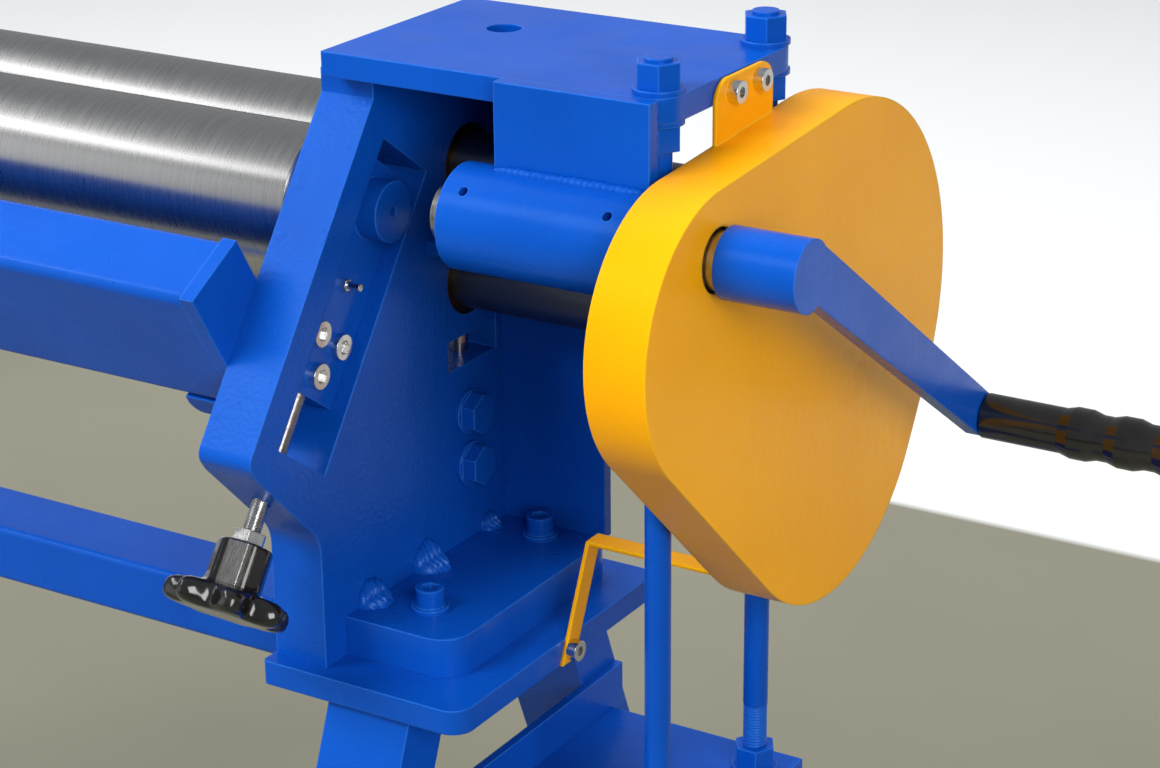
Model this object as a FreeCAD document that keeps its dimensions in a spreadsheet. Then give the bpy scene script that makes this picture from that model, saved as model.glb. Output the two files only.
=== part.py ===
import FreeCAD, Part
import Sketcher
import math
import os
import re

# Slip roll machine on a floor stand: a sheet is gripped between two geared rolls and
# curled by a third roll that two inclined screws lift behind it.
# X runs along the rolls and +X is the crank end, -Y is the bending roll's side, Z is up.
# The origin is the middle of the four floor bolt holes, on the floor. Lengths are millimetres.

document = FreeCAD.newDocument("slip_roll")
sheet = document.addObject("Spreadsheet::Sheet", "Sizes")

sizes = {
    # rolls
    "work_width": 1050,
    "pinch_roll_radius": 37.5,
    "bend_roll_radius": 45,
    "roll_edge_round": 2,
    "pinch_gap": 1,
    "side_gap": 5,
    "journal_radius": 20,
    "bend_journal_radius": 17.5,
    "shoulder_radius": 26,
    "bush_wall": 5,
    "running_clearance": 0.06,
    "face_clearance": 0.3,
    "overrun": 1,
    # end frames, measured from the frame's front foot corner on the stand plate
    "foot_front": 105.5,
    "stand_height": 640,
    "frame_thick": 38,
    "frame_deep": 205,
    "frame_high": 360,
    "front_column_up": 86,
    "nose_low_up": 146,
    "nose_low_reach": 58,
    "nose_tip_up": 157,
    "land_in": 71,
    "land_up": 345,
    "lean": 36,
    "nose_round": 9,
    "throat_round": 24,
    "slot_wall": 23,
    "slot_width": 54,
    "slot_low": 106,
    "slot_high": 305,
    "window_low_up": 148,
    "window_high_up": 246,
    "window_width": 56,
    "lower_roll_up": 205.5,
    "pinch_in": 170,
    "bracket_bolt_in": 163,
    "bracket_bolt_low_up": 79,
    "bracket_bolt_high_up": 115,
    "bracket_bolt_radius": 8,
    "bolt_head_high": 10,
    "plug_in": 128,
    "plug_up": 238,
    "plug_radius": 4,
    "plug_long": 15,
    "plug_head_radius": 7.4,
    "plug_head_high": 9.6,
    # feet of the frames
    "foot_out": 80,
    "foot_in": 22,
    "foot_thick": 26,
    "foot_round": 20,
    "foot_screw_out": 39,
    "foot_screw_front_in": 58,
    "foot_screw_rear_in": 187,
    "foot_screw_radius": 6,
    "foot_screw_tail": 2,
    "foot_key_radius": 5.7,
    "rear_plate_thick": 8,
    "rear_plate_out": 78,
    # bending roll carriage, along and across the inclined slot
    "block_low": 146,
    "block_long": 150,
    "block_recess": 11,
    "block_inset": 1,
    "block_play": 0.15,
    "bend_roll_along": 268.5,
    "boss_radius": 19,
    "boss_proud": 16,
    "boss_dimple": 3,
    "thrust_screw_radius": 5,
    "thrust_screw_upper": 183,
    "thrust_screw_lower": 160,
    "thrust_screw_spread": 12.5,
    "thrust_screw_long": 11,
    "thrust_hole_deep": 12,
    "thrust_head_radius": 8,
    "thrust_key_radius": 4.65,
    "thrust_key_deep": 3.5,
    "block_floor": 1.5,
    "dimple_deep": 5,
    "nipple_along": 217,
    "nipple_across": 6,
    "nipple_radius": 4,
    "nipple_long": 15,
    "nipple_foot": 6,
    "nipple_neck_radius": 2.4,
    "adjust_radius": 6,
    "adjust_in_block": 8,
    "knob_low": 6,
    "knob_disc": 17,
    "knob_disc_radius": 31,
    "knob_lobes": 7,
    "knob_lobe_radius": 11,
    "knob_lobe_circle": 29,
    "knob_hub_radius": 17.5,
    "knob_floor": 2,
    "knob_hub_long": 28,
    "lock_nut_gap": 1,
    "lock_nut_long": 7,
    "lock_nut_radius": 10.5,
    # pinch roll carriage
    "lift_block_high": 76,
    "lift_screw_in": 183,
    "lift_screw_radius": 6,
    "lift_knob_radius": 18,
    "lift_knob_long": 22,
    "lift_knob_gap": 12,
    "lift_knob_floor": 2,
    "lift_flutes": 6,
    "lift_flute_radius": 4.5,
    "lift_flute_ring": 20.2,
    # outrigger at the crank end, measured outward from the end frame's outer face
    "cap_thick": 15,
    "cap_in": 25,
    "cap_out": 209,
    "cap_front_in": 54.5,
    "cap_round": 16,
    "cap_hole_out": 39,
    "cap_hole_in": 155,
    "cap_hole_radius": 11,
    "apron_start": 102,
    "apron_stop": 204,
    "apron_thick": 9.5,
    "apron_seat": 6,
    "crank_in": 45,
    "tube_start": 81,
    "tube_stop": 207,
    "tube_radius": 31.75,
    "tube_bore": 19,
    "oil_hole_radius": 3,
    "oil_hole_lean": 45,
    "oil_hole_start": 14,
    "oil_hole_pitch": 95,
    "outer_bearing_start": 50.5,
    "outer_bearing_long": 50,
    "outer_bearing_wide": 69,
    "outer_bearing_low": 35,
    "outer_bearing_rear_gap": 0.5,
    "rod_radius": 8,
    "rod_out": 194,
    "rod_front_in": 72.5,
    "rod_rear_in": 200,
    "rod_top": 20,
    "rod_tail": 34,
    "rod_neck_radius": 7,
    "rod_neck_long": 48,
    "shelf_down": 110,
    "shelf_thick": 8,
    "shelf_front_in": 45,
    "shelf_rear_in": 226,
    "shelf_stop": 216,
    "nut_radius": 13.86,
    "nut_high": 14.8,
    "washer_radius": 15,
    "washer_thick": 3,
    # drive
    "crank_shaft_radius": 15,
    "crank_bush_wall": 4,
    "crank_bush_long": 45,
    "crank_shaft_tail": 12.5,
    "gear_module": 3.5,
    "pinion_teeth": 14,
    "wheel_teeth": 73,
    "gear_slack": 0.2,
    "pressure_angle": 20,
    "tooth_rise": 0.95,
    "tooth_fall": 1.2,
    "flank_steps": 4,
    "mesh_shift": 0.45,
    "wheel_start": 226,
    "pinion_start": 225,
    "wheel_wide": 18,
    "roll_gear_teeth": 19,
    "roll_gear_start": 212,
    "roll_gear_wide": 11,
    "tooth_thinning": 0.022,
    "gear_bore_radius": 16,
    "gear_step": 4,
    "journal_short": 2,
    "collar_radius": 17,
    "tail_collar_radius": 18,
    "hub_bore_radius": 13,
    "collar_stop": 255,
    "hub_radius": 21,
    "hub_stop": 305,
    "arm_throw": 300,
    "arm_drop": 33.5,
    "arm_thick": 10,
    "arm_end_radius": 13.5,
    "arm_root_low": 11,
    "arm_root_high": 20,
    "grip_radius": 14.5,
    "grip_long": 140,
    "grip_bump": 2,
    "grip_bumps": 3,
    "grip_bump_start": 64,
    "grip_bump_pitch": 31,
    "grip_bump_top": 5,
    "grip_bump_foot": 12,
    "grip_end_round": 5,
    "grip_gap": 1,
    "spindle_radius": 6,
    "spindle_head_radius": 9,
    "spindle_head": 6,
    # guard over the gears
    "guard_start": 209.5,
    "guard_stop": 248,
    "guard_sheet": 2,
    "guard_a_in": 52,
    "guard_a_up": 245,
    "guard_a_radius": 88,
    "guard_b_in": 209,
    "guard_b_up": 203.5,
    "guard_b_radius": 140,
    "guard_c_in": 198.5,
    "guard_c_up": 154.5,
    "guard_c_radius": 124,
    "guard_hole_radius": 19,
    "tab_front_in": 107,
    "tab_rear_in": 176,
    "tab_low_up": 333,
    "tab_top_up": 374,
    "tab_round": 14,
    "tab_thick": 2.5,
    "tab_screw_front_in": 126,
    "tab_screw_rear_in": 157,
    "tab_screw_radius": 4,
    "cap_head_radius": 6.8,
    "cap_head_high": 6.4,
    "cap_key_radius": 3.4,
    "cap_key_deep": 4,
    "tab_screw_up": 365,
    "tap_deep": 12,
    "strap_in": 102,
    "strap_lean": 33,
    "strap_wide": 15,
    "strap_thick": 2.5,
    "strap_low": 16,
    "strap_up": 57,
    "strap_screw_side": 10.5,
    "strap_screw_down": 8,
    # cross members
    "beam_deep": 97,
    "beam_wide": 50,
    "beam_wall": 4,
    "beam_tilt": 30,
    "beam_front_reach": 61,
    "beam_front_up": 251,
    "beam_round": 7,
    "bracket_thick": 10,
    "bracket_tail_high": 76,
    "bracket_rear_in": 186,
    "bracket_neck_in": 120,
    "bracket_neck_up": 150,
    "bracket_low_up": 60,
    "lip_thick": 13,
    "lip_long": 50,
    "lip_round": 9,
    # stand
    "plate_thick": 16,
    "plate_reach": 11,
    "plate_rear_in": 226,
    "plate_inboard": 41,
    "plate_outboard": 106,
    "plate_round": 14,
    "plate_inner_round": 3,
    "lift_screw_play": 1,
    "leg_start": 4,
    "leg_wide": 60,
    "leg_deep": 43,
    "leg_wall": 4,
    "leg_splay": 22,
    "leg_front_in": -3,
    "leg_rear_in": 214,
    "pad_thick": 10,
    "pad_size": 96,
    "pad_hole_radius": 7,
    "pad_hole_reach": 26,
    "cross_bar_thick": 6,
    "cross_bar_high": 60,
    "cross_bar_down": 82,
    "rail_wide": 58,
    "rail_high": 40,
    "rail_wall": 3,
    "rail_in": 60,
    "rail_round": 4,
    # roll release at the free end
    "latch_thick": 16,
    "latch_gap": 6,
    "latch_wall": 18,
    "latch_pivot_in": 126,
    "latch_pivot_up": 300,
    "latch_pivot_radius": 8,
    "latch_pivot_wall": 10,
    "latch_finger": 16,
    "stud_above": 43,
    "stud_lean": 40,
    "stud_radius": 6,
    "stud_free": 1,
    "spacer_radius": 12,
    "pin_head": 5,
    "release_knob_radius": 20,
    "release_knob_long": 22,
    "release_knob_flutes": 6,
    "release_flute_radius": 5,
    "tail_out": 30,
}

for row, (word, number) in enumerate(sizes.items(), 1):
    sheet.set(f"A{row}", word)
    sheet.set(f"B{row}", str(number))
    sheet.setAlias(f"B{row}", word)
document.recompute()

pieces = {}


# Expressions: a sum of size names is spelled on the sheet, or worked out as a number
def link(text):
    def spell(found):
        word = found.group()
        return "Sizes." + word if word in sizes else word

    return re.sub(r"[a-z][a-z_]*", spell, str(text))


def number(text):
    return float(sheet.evalExpression(link(text)))


INNER = "(work_width / 2 + side_gap)"
OUTER = f"({INNER} + frame_thick)"
FRONT = "(0 - foot_front)"
SIN = "sin(lean * 1 deg)"
COS = "cos(lean * 1 deg)"
PINCH_Y = f"({FRONT} + pinch_in)"
LOWER_Z = "(stand_height + lower_roll_up)"
ROLL_CENTRES = "(2 * pinch_roll_radius + pinch_gap)"
UPPER_Z = f"({LOWER_Z} + {ROLL_CENTRES})"
CRANK_Y = f"({FRONT} + crank_in)"
GEAR_CENTRES = "((pinion_teeth + wheel_teeth) * gear_module / 2 + gear_slack)"
CRANK_Z = f"({LOWER_Z} + sqrt({GEAR_CENTRES} ^ 2 - (pinch_in - crank_in) ^ 2))"
SLOPE_ACROSS = f"(land_in * {COS} - land_up * {SIN})"
SLOT_ACROSS = f"({SLOPE_ACROSS} + slot_wall + slot_width / 2)"
BUSH_RADIUS = "(journal_radius + bush_wall)"
NOSE_TIP_IN = "(land_in - (land_up - nose_tip_up) * tan(lean * 1 deg))"
CAP_TOP = "(stand_height + frame_high + cap_thick)"
SIDES = {"right": 1, "left": -1}


def place(piece, at=("0", "0", "0"), axis=None, angle="0"):
    """Seat a piece at a spot given by expressions, turned about one axis"""
    if axis:
        piece.Placement = FreeCAD.Placement(FreeCAD.Vector(), FreeCAD.Rotation(FreeCAD.Vector(*axis), 10))
        piece.setExpression("Placement.Rotation.Angle", link(f"({angle}) * 1 deg"))
    for letter, text in zip("xyz", at):
        piece.setExpression(f"Placement.Base.{letter}", link(text))
    return piece


def keep(piece, name):
    """Register a finished sub-part under the name of its file"""
    piece.Label = name
    pieces[name] = piece
    return piece


def block(name, corner, size):
    """A rectangular block from its lowest corner"""
    piece = document.addObject("Part::Box", name)
    for side, text in zip(("Length", "Width", "Height"), size):
        piece.setExpression(side, link(text))
    return place(piece, corner)


def rod(name, radius, long, at, along="z"):
    """A plain round bar that starts at a point and runs along X, Y or Z"""
    piece = document.addObject("Part::Cylinder", name)
    piece.setExpression("Radius", link(radius))
    piece.setExpression("Height", link(long))
    turns = {"x": ((0, 1, 0), "90"), "y": ((1, 0, 0), "-90"), "z": (None, "0")}
    return place(piece, at, *turns[along])


def hexagon(name, radius, long, at, along="z"):
    """A hexagonal bar, as nuts and bolt heads are"""
    piece = document.addObject("Part::Prism", name)
    piece.Polygon = 6
    piece.setExpression("Circumradius", link(radius))
    piece.setExpression("Height", link(long))
    turns = {"x": ((0, 1, 0), "90"), "y": ((1, 0, 0), "-90"), "z": (None, "0")}
    return place(piece, at, *turns[along])


def join(name, parts):
    piece = document.addObject("Part::MultiFuse", name)
    piece.Shapes = parts
    piece.Refine = True
    return piece


def group(name, parts):
    """Loose solids of one kind that share a node"""
    piece = document.addObject("Part::Compound", name)
    piece.Links = parts
    return piece


def cut(name, base, *tools):
    """Take one or more tools away from a base"""
    tool = tools[0] if len(tools) == 1 else join(name + "_tools", list(tools))
    piece = document.addObject("Part::Cut", name)
    piece.Base = base
    piece.Tool = tool
    return piece


def new_body(name):
    return document.addObject("PartDesign::Body", name)


def plane_sketch(body, role, name):
    """An empty sketch on one of the body's own origin planes"""
    drawing = body.newObject("Sketcher::SketchObject", name)
    plane = next(item for item in body.Origin.OriginFeatures if item.Role == role)
    drawing.AttachmentSupport = [(plane, "")]
    drawing.MapMode = "FlatFace"
    return drawing


def pin_point(drawing, geometry, spot, u, v):
    """Tie a sketch point to two expressions, or to an axis where one is nought"""
    for kind, text, axis in (("DistanceX", u, -2), ("DistanceY", v, -1)):
        if str(text) == "0":
            drawing.addConstraint(Sketcher.Constraint("PointOnObject", geometry, spot, axis))
            continue
        index = drawing.addConstraint(Sketcher.Constraint(kind, -1, 1, geometry, spot, number(text)))
        drawing.setExpression(f"Constraints[{index}]", link(text))


def polygon(drawing, corners):
    """A closed outline through corners, each tied to its own expressions"""
    spots = [FreeCAD.Vector(number(u), number(v), 0) for u, v in corners]
    first = drawing.GeometryCount
    for start, end in zip(spots, spots[1:] + spots[:1]):
        drawing.addGeometry(Part.LineSegment(start, end), False)
    count = len(spots)
    for step in range(count):
        after = first + (step + 1) % count
        drawing.addConstraint(Sketcher.Constraint("Coincident", first + step, 2, after, 1))
    for step, (u, v) in enumerate(corners):
        pin_point(drawing, first + step, 1, u, v)


def circle(drawing, u, v, radius):
    centre = FreeCAD.Vector(number(u), number(v), 0)
    ring = drawing.addGeometry(Part.Circle(centre, FreeCAD.Vector(0, 0, 1), number(radius)), False)
    pin_point(drawing, ring, 3, u, v)
    index = drawing.addConstraint(Sketcher.Constraint("Radius", ring, number(radius)))
    drawing.setExpression(f"Constraints[{index}]", link(radius))


def pad(body, drawing, long, name):
    feature = body.newObject("PartDesign::Pad", name)
    feature.Profile = drawing
    feature.setExpression("Length", link(long))
    body.Tip = feature
    document.recompute()
    return feature


def round_edges(body, name, radius, choose):
    """Round the edges of the body's last feature that the test picks"""
    base = body.Tip
    edges = [f"Edge{index}" for index, edge in enumerate(base.Shape.Edges, 1) if choose(edge)]
    feature = body.newObject("PartDesign::Fillet", name)
    feature.Base = (base, edges)
    feature.setExpression("Radius", link(radius))
    body.Tip = feature
    document.recompute()
    return feature


def runs_along(edge, axis):
    """Whether a straight edge lies along X (0), Y (1) or Z (2)"""
    if len(edge.Vertexes) != 2 or edge.Curve.TypeId != "Part::GeomLine":
        return False
    way = edge.Vertexes[1].Point - edge.Vertexes[0].Point
    return abs(way[axis]) > 0.999 * way.Length


def near(edge, u, v, axes):
    """Whether an edge's middle lies at two coordinates"""
    middle = edge.CenterOfMass
    return abs(middle[axes[0]] - number(u)) < 0.5 and abs(middle[axes[1]] - number(v)) < 0.5


def turned(name, profile, at, axis=None, angle="0"):
    """A turned piece: its half profile (station, radius) spun about X"""
    body = new_body(name)
    drawing = plane_sketch(body, "XY_Plane", name + "_profile")
    polygon(drawing, profile)
    feature = body.newObject("PartDesign::Revolution", name + "_turn")
    feature.Profile = drawing
    feature.ReferenceAxis = (drawing, ["H_Axis"])
    feature.Angle = 360
    body.Tip = feature
    return place(body, at, axis, angle)


def ring_profile(start, stop, inner, outer):
    return [(start, inner), (stop, inner), (stop, outer), (start, outer)]


def outward(side, start, stop):
    """Lowest X and length of a stretch measured outward on one side"""
    lowest = start if side > 0 else f"0 - ({stop})"
    return lowest, f"({stop}) - ({start})"


def along_slot(along, across):
    """Y and Z, from the frame's front foot corner, of a spot along and across the slot"""
    return f"({along}) * {SIN} + ({across}) * {COS}", f"({along}) * {COS} - ({across}) * {SIN}"


def seat_in_slope(piece, x):
    """Carry a piece drawn upright with Z along the slot to its incline"""
    return place(piece, (x, FRONT, "stand_height"), (1, 0, 0), "0 - lean")


# End frames
def end_frame(word, side):
    body = new_body(word + "_frame_body")
    outline = [
        ("0 - foot_front", "stand_height"),
        ("0 - foot_front", "stand_height + front_column_up"),
        ("0 - foot_front - nose_low_reach", "stand_height + nose_low_up"),
        (f"{FRONT} + {NOSE_TIP_IN}", "stand_height + nose_tip_up"),
        (f"{FRONT} + land_in", "stand_height + land_up"),
        (f"{FRONT} + land_in", "stand_height + frame_high"),
        (f"{FRONT} + frame_deep", "stand_height + frame_high"),
        (f"{FRONT} + frame_deep", "stand_height"),
    ]
    drawing = plane_sketch(body, "YZ_Plane", word + "_frame_outline")
    polygon(drawing, outline)
    slot = []
    for along, across in (("slot_low", -1), ("slot_high", -1), ("slot_high", 1), ("slot_low", 1)):
        u, v = along_slot(along, f"{SLOT_ACROSS} + {across} * slot_width / 2")
        slot.append((f"{FRONT} + {u}", f"stand_height + {v}"))
    polygon(drawing, slot)
    window = []
    low, high = "stand_height + window_low_up", "stand_height + window_high_up"
    for across, up in ((-1, low), (-1, high), (1, high), (1, low)):
        window.append((f"{PINCH_Y} + {across} * window_width / 2", up))
    polygon(drawing, window)
    for up in ("bracket_bolt_low_up", "bracket_bolt_high_up"):
        hole = "bracket_bolt_radius + face_clearance"
        circle(drawing, f"{FRONT} + bracket_bolt_in", f"stand_height + {up}", hole)
    if side > 0:
        circle(drawing, PINCH_Y, UPPER_Z, BUSH_RADIUS)
    pad(body, drawing, "frame_thick", word + "_frame_pad")
    nose = [(outline[2][0], outline[2][1], "nose_round"), (outline[3][0], outline[3][1], "nose_round")]
    nose.append((outline[1][0], outline[1][1], "throat_round"))
    for turn, (u, v, radius) in enumerate(nose):
        picked = lambda edge: runs_along(edge, 0) and near(edge, u, v, (1, 2))
        round_edges(body, f"{word}_frame_round_{turn}", radius, picked)
    place(body, (outward(side, INNER, OUTER)[0], "0", "0"))
    middle = f"{side} * ({INNER} + frame_thick / 2)"
    free_fit = "adjust_radius + running_clearance"
    screw_hole = rod(word + "_nose_hole", free_fit, "slot_low", ("0", SLOT_ACROSS, "0"))
    seat_in_slope(screw_hole, middle)
    y, z = along_slot("slot_low / 2", SLOT_ACROSS)
    screw_hole.setExpression("Placement.Base.y", link(f"{FRONT} + {y}"))
    screw_hole.setExpression("Placement.Base.z", link(f"stand_height + {z}"))
    lift_hole = rod(
        word + "_lift_hole",
        "lift_screw_radius + running_clearance",
        "window_low_up + 2 * overrun",
        (middle, f"{FRONT} + lift_screw_in", "stand_height - overrun"),
    )
    tools = [screw_hole, lift_hole]
    if side > 0:
        at = (f"{OUTER} - plug_long - overrun", f"{FRONT} + plug_in", "stand_height + plug_up")
        tools.append(rod("plug_hole", "plug_radius", "plug_long + 2 * overrun", at, "x"))
    else:
        far = f"0 - {OUTER} - overrun"
        deep = "frame_thick + 2 * overrun"
        tools.append(rod("saddle_round", BUSH_RADIUS, deep, (far, PINCH_Y, UPPER_Z), "x"))
        high = f"stand_height + frame_high - {UPPER_Z} + overrun"
        corner = (far, f"{PINCH_Y} - {BUSH_RADIUS}", UPPER_Z)
        tools.append(block("saddle_mouth", corner, (deep, f"2 * {BUSH_RADIUS}", high)))
    keep(cut(word + "_end_frame", body, *tools), word + "_end_frame")


# Foot plates welded to the outer face of each frame, screwed to the stand plate
def foot_plate(word, side):
    x, wide = outward(side, OUTER, f"{OUTER} + foot_out")
    body = new_body(word + "_foot_body")
    drawing = plane_sketch(body, "XY_Plane", word + "_foot_outline")
    far = f"{side} * ({OUTER} + foot_out)"
    close = f"{side} * {OUTER}"
    front = f"{FRONT} + foot_in"
    rear = f"{FRONT} + frame_deep + rear_plate_thick"
    polygon(drawing, [(close, front), (far, front), (far, rear), (close, rear)])
    for depth in ("foot_screw_front_in", "foot_screw_rear_in"):
        spot = f"{side} * ({OUTER} + foot_screw_out)"
        circle(drawing, spot, f"{FRONT} + {depth}", "foot_screw_radius + face_clearance")
    pad(body, drawing, "foot_thick", word + "_foot_pad")
    for turn, depth in enumerate((front, rear)):
        picked = lambda edge: runs_along(edge, 2) and near(edge, far, depth, (0, 1))
        round_edges(body, f"{word}_foot_round_{turn}", "foot_round", picked)
    keep(place(body, ("0", "0", "stand_height")), word + "_foot_plate")


def foot_screws(word, side):
    """Socket screws through foot plate and stand plate, each with its washer"""
    screws = []
    x = f"{side} * ({OUTER} + foot_screw_out)"
    seat = "stand_height + foot_thick"
    under_head = f"{seat} + washer_thick"
    head_high = "foot_screw_radius * 2"
    key_deep = "foot_screw_radius"
    shank_long = "foot_thick + plate_thick + washer_thick + foot_screw_tail"
    for turn, depth in enumerate(("foot_screw_front_in", "foot_screw_rear_in")):
        y = f"{FRONT} + {depth}"
        low = f"{under_head} - ({shank_long})"
        shank = rod(f"{word}_foot_shank_{turn}", "foot_screw_radius", shank_long, (x, y, low))
        head = rod(f"{word}_foot_head_{turn}", "foot_screw_radius * 1.5", head_high, (x, y, under_head))
        washer = rod(f"{word}_foot_washer_{turn}", "foot_screw_radius * 2", "washer_thick", (x, y, seat))
        whole = join(f"{word}_foot_screw_{turn}", [shank, head, washer])
        key_at = (x, y, f"{under_head} + {head_high} - {key_deep}")
        key = hexagon(f"{word}_foot_key_{turn}", "foot_key_radius", f"{key_deep} + overrun", key_at)
        screws.append(cut(f"{word}_foot_screw_cut_{turn}", whole, key))
    return screws


def bracket_bolts(word, side):
    """Hex bolts through frame and bracket, each with a washer outside and a nut inside"""
    bolts = []
    y = f"{FRONT} + bracket_bolt_in"
    inner_face = f"{INNER} - bracket_thick"
    nut_stop = f"{inner_face} - nut_high"
    for turn, up in enumerate(("bracket_bolt_low_up", "bracket_bolt_high_up")):
        z = f"stand_height + {up}"
        x, long = outward(side, f"{nut_stop} - foot_screw_tail", OUTER)
        shank = rod(f"{word}_bolt_shank_{turn}", "bracket_bolt_radius", long, (x, y, z), "x")
        x, long = outward(side, OUTER, f"{OUTER} + washer_thick")
        washer = rod(f"{word}_bolt_washer_{turn}", "washer_radius", long, (x, y, z), "x")
        x, long = outward(side, f"{OUTER} + washer_thick", f"{OUTER} + washer_thick + bolt_head_high")
        head = hexagon(f"{word}_bolt_head_{turn}", "nut_radius", long, (x, y, z), "x")
        bolts.append(join(f"{word}_bracket_bolt_{turn}", [shank, washer, head]))
        x, long = outward(side, nut_stop, inner_face)
        six = hexagon(f"{word}_bolt_nut_blank_{turn}", "nut_radius", long, (x, y, z), "x")
        x, long = outward(side, f"{nut_stop} - overrun", f"{inner_face} + overrun")
        eye = rod(f"{word}_bolt_nut_eye_{turn}", "bracket_bolt_radius", long, (x, y, z), "x")
        bolts.append(cut(f"{word}_bolt_nut_{turn}", six, eye))
    return bolts


# Members that tie the two end frames together
def beam_bracket(word, side):
    """Bracket that carries one end of the beam: a plate bolted to the frame, and a lip below the beam"""
    body = new_body(word + "_bracket_plate")
    drawing = plane_sketch(body, "YZ_Plane", word + "_bracket_outline")
    corner = []
    low = "(0 - beam_deep - lip_thick)"
    tilt_cos = "cos(beam_tilt * 1 deg)"
    tilt_sin = "sin(beam_tilt * 1 deg)"
    for across, up in (("0", "0"), ("0", low), ("beam_wide", low), ("beam_wide", "0")):
        u = f"{FRONT} - beam_front_reach + {across} * {tilt_cos} - {up} * {tilt_sin}"
        v = f"stand_height + beam_front_up + {across} * {tilt_sin} + {up} * {tilt_cos}"
        corner.append((u, v))
    foot = f"{FRONT} + bracket_neck_in"
    rear = f"{FRONT} + bracket_rear_in"
    outline = [
        corner[0],
        corner[1],
        (foot, "stand_height + bracket_low_up"),
        (rear, "stand_height + bracket_low_up"),
        (rear, "stand_height + bracket_low_up + bracket_tail_high"),
        (foot, "stand_height + bracket_low_up + bracket_tail_high"),
        corner[2],
        corner[3],
    ]
    polygon(drawing, outline)
    for up in ("bracket_bolt_low_up", "bracket_bolt_high_up"):
        hole = "bracket_bolt_radius + face_clearance"
        circle(drawing, f"{FRONT} + bracket_bolt_in", f"stand_height + {up}", hole)
    pad(body, drawing, "bracket_thick", word + "_bracket_pad")
    place(body, (outward(side, f"{INNER} - bracket_thick", INNER)[0], "0", "0"))
    x, long = outward(side, f"{INNER} - lip_long", f"{INNER} - bracket_thick")
    lip = block(word + "_bracket_lip", ("0", "0", low), (long, "beam_wide", "lip_thick"))
    document.recompute()
    rounded = document.addObject("Part::Fillet", word + "_lip_rounded")
    rounded.Base = lip
    tip = "0" if side > 0 else long
    picked = []
    for index, edge in enumerate(lip.Shape.Edges, 1):
        if runs_along(edge, 1) and near(edge, tip, low, (0, 2)):
            picked.append((index, number("lip_round"), number("lip_round")))
    rounded.Edges = picked
    place(rounded, (x, f"{FRONT} - beam_front_reach", "stand_height + beam_front_up"), (1, 0, 0), "beam_tilt")
    return join(word + "_beam_bracket", [body, rounded])


def cross_members():
    """Box beam along the front, closed at its ends by the brackets that hold it"""
    long = f"2 * ({INNER} - bracket_thick)"
    outer = block("beam_outer", ("0", "0", "0 - beam_deep"), (long, "beam_wide", "beam_deep"))
    inner_size = (f"{long} + 2 * overrun", "beam_wide - 2 * beam_wall", "beam_deep - 2 * beam_wall")
    inner = block("beam_inner", ("0 - overrun", "beam_wall", "beam_wall - beam_deep"), inner_size)
    document.recompute()
    rounded = document.addObject("Part::Fillet", "beam_rounded")
    rounded.Base = outer
    edges = [index for index, edge in enumerate(outer.Shape.Edges, 1) if runs_along(edge, 0)]
    rounded.Edges = [(index, number("beam_round"), number("beam_round")) for index in edges]
    beam = cut("front_beam", rounded, inner)
    at = (f"bracket_thick - {INNER}", f"{FRONT} - beam_front_reach", "stand_height + beam_front_up")
    keep(place(beam, at, (1, 0, 0), "beam_tilt"), "front_beam")
    brackets = [beam_bracket(word, side) for word, side in SIDES.items()]
    keep(group("beam_brackets", brackets), "beam_brackets")
    bolts = []
    for word, side in SIDES.items():
        bolts += bracket_bolts(word, side)
    keep(group("bracket_bolts", bolts), "bracket_bolts")


def oil_plug():
    y = f"{FRONT} + plug_in"
    z = "stand_height + plug_up"
    shank = rod("plug_shank", "plug_radius", "plug_long", (f"{OUTER} - plug_long", y, z), "x")
    head = hexagon("plug_head", "plug_head_radius", "plug_head_high", (OUTER, y, z), "x")
    keep(join("oil_plug", [shank, head]), "oil_plug")


# Rolls, bushes and bearing blocks
def pinch_roll(name, z, right_stop, left_stop):
    half = "work_width / 2"
    profile = [
        (f"0 - {left_stop}", "0"),
        (f"0 - {left_stop}", "journal_radius"),
        (f"0 - {INNER} + face_clearance", "journal_radius"),
        (f"0 - {INNER} + face_clearance", "shoulder_radius"),
        (f"0 - {half}", "shoulder_radius"),
        (f"0 - {half}", "pinch_roll_radius - roll_edge_round"),
        (f"0 - {half} + roll_edge_round", "pinch_roll_radius"),
        (f"{half} - roll_edge_round", "pinch_roll_radius"),
        (half, "pinch_roll_radius - roll_edge_round"),
        (half, "shoulder_radius"),
        (f"{INNER} - face_clearance", "shoulder_radius"),
        (f"{INNER} - face_clearance", "journal_radius"),
        (f"{OUTER} + roll_gear_start - gear_step", "journal_radius"),
        (f"{OUTER} + roll_gear_start - gear_step", "gear_bore_radius"),
        (right_stop, "gear_bore_radius"),
        (right_stop, "0"),
    ]
    keep(turned(name, profile, ("0", PINCH_Y, z)), name)


def bending_roll():
    half = "work_width / 2"
    stop = f"({OUTER} - block_recess - journal_short)"
    profile = []
    for sign in ("0 - ", ""):
        end = [
            (f"{sign}{stop}", "0"),
            (f"{sign}{stop}", "bend_journal_radius"),
            (f"{sign}({half} + side_gap - face_clearance)", "bend_journal_radius"),
            (f"{sign}({half} + side_gap - face_clearance)", "shoulder_radius"),
            (f"{sign}({half})", "shoulder_radius"),
            (f"{sign}({half})", "bend_roll_radius - roll_edge_round"),
            (f"{sign}({half} - roll_edge_round)", "bend_roll_radius"),
        ]
        profile += end if sign else end[::-1]
    u, v = along_slot("bend_roll_along", SLOT_ACROSS)
    keep(turned("bending_roll", profile, ("0", f"{FRONT} + {u}", f"stand_height + {v}")), "bending_roll")


def flat_bush(name, x, long, y, z):
    """A plain bronze bush on a pinch roll journal"""
    profile = ring_profile("0", long, "journal_radius + running_clearance", BUSH_RADIUS)
    return turned(name, profile, (x, y, z))


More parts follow.
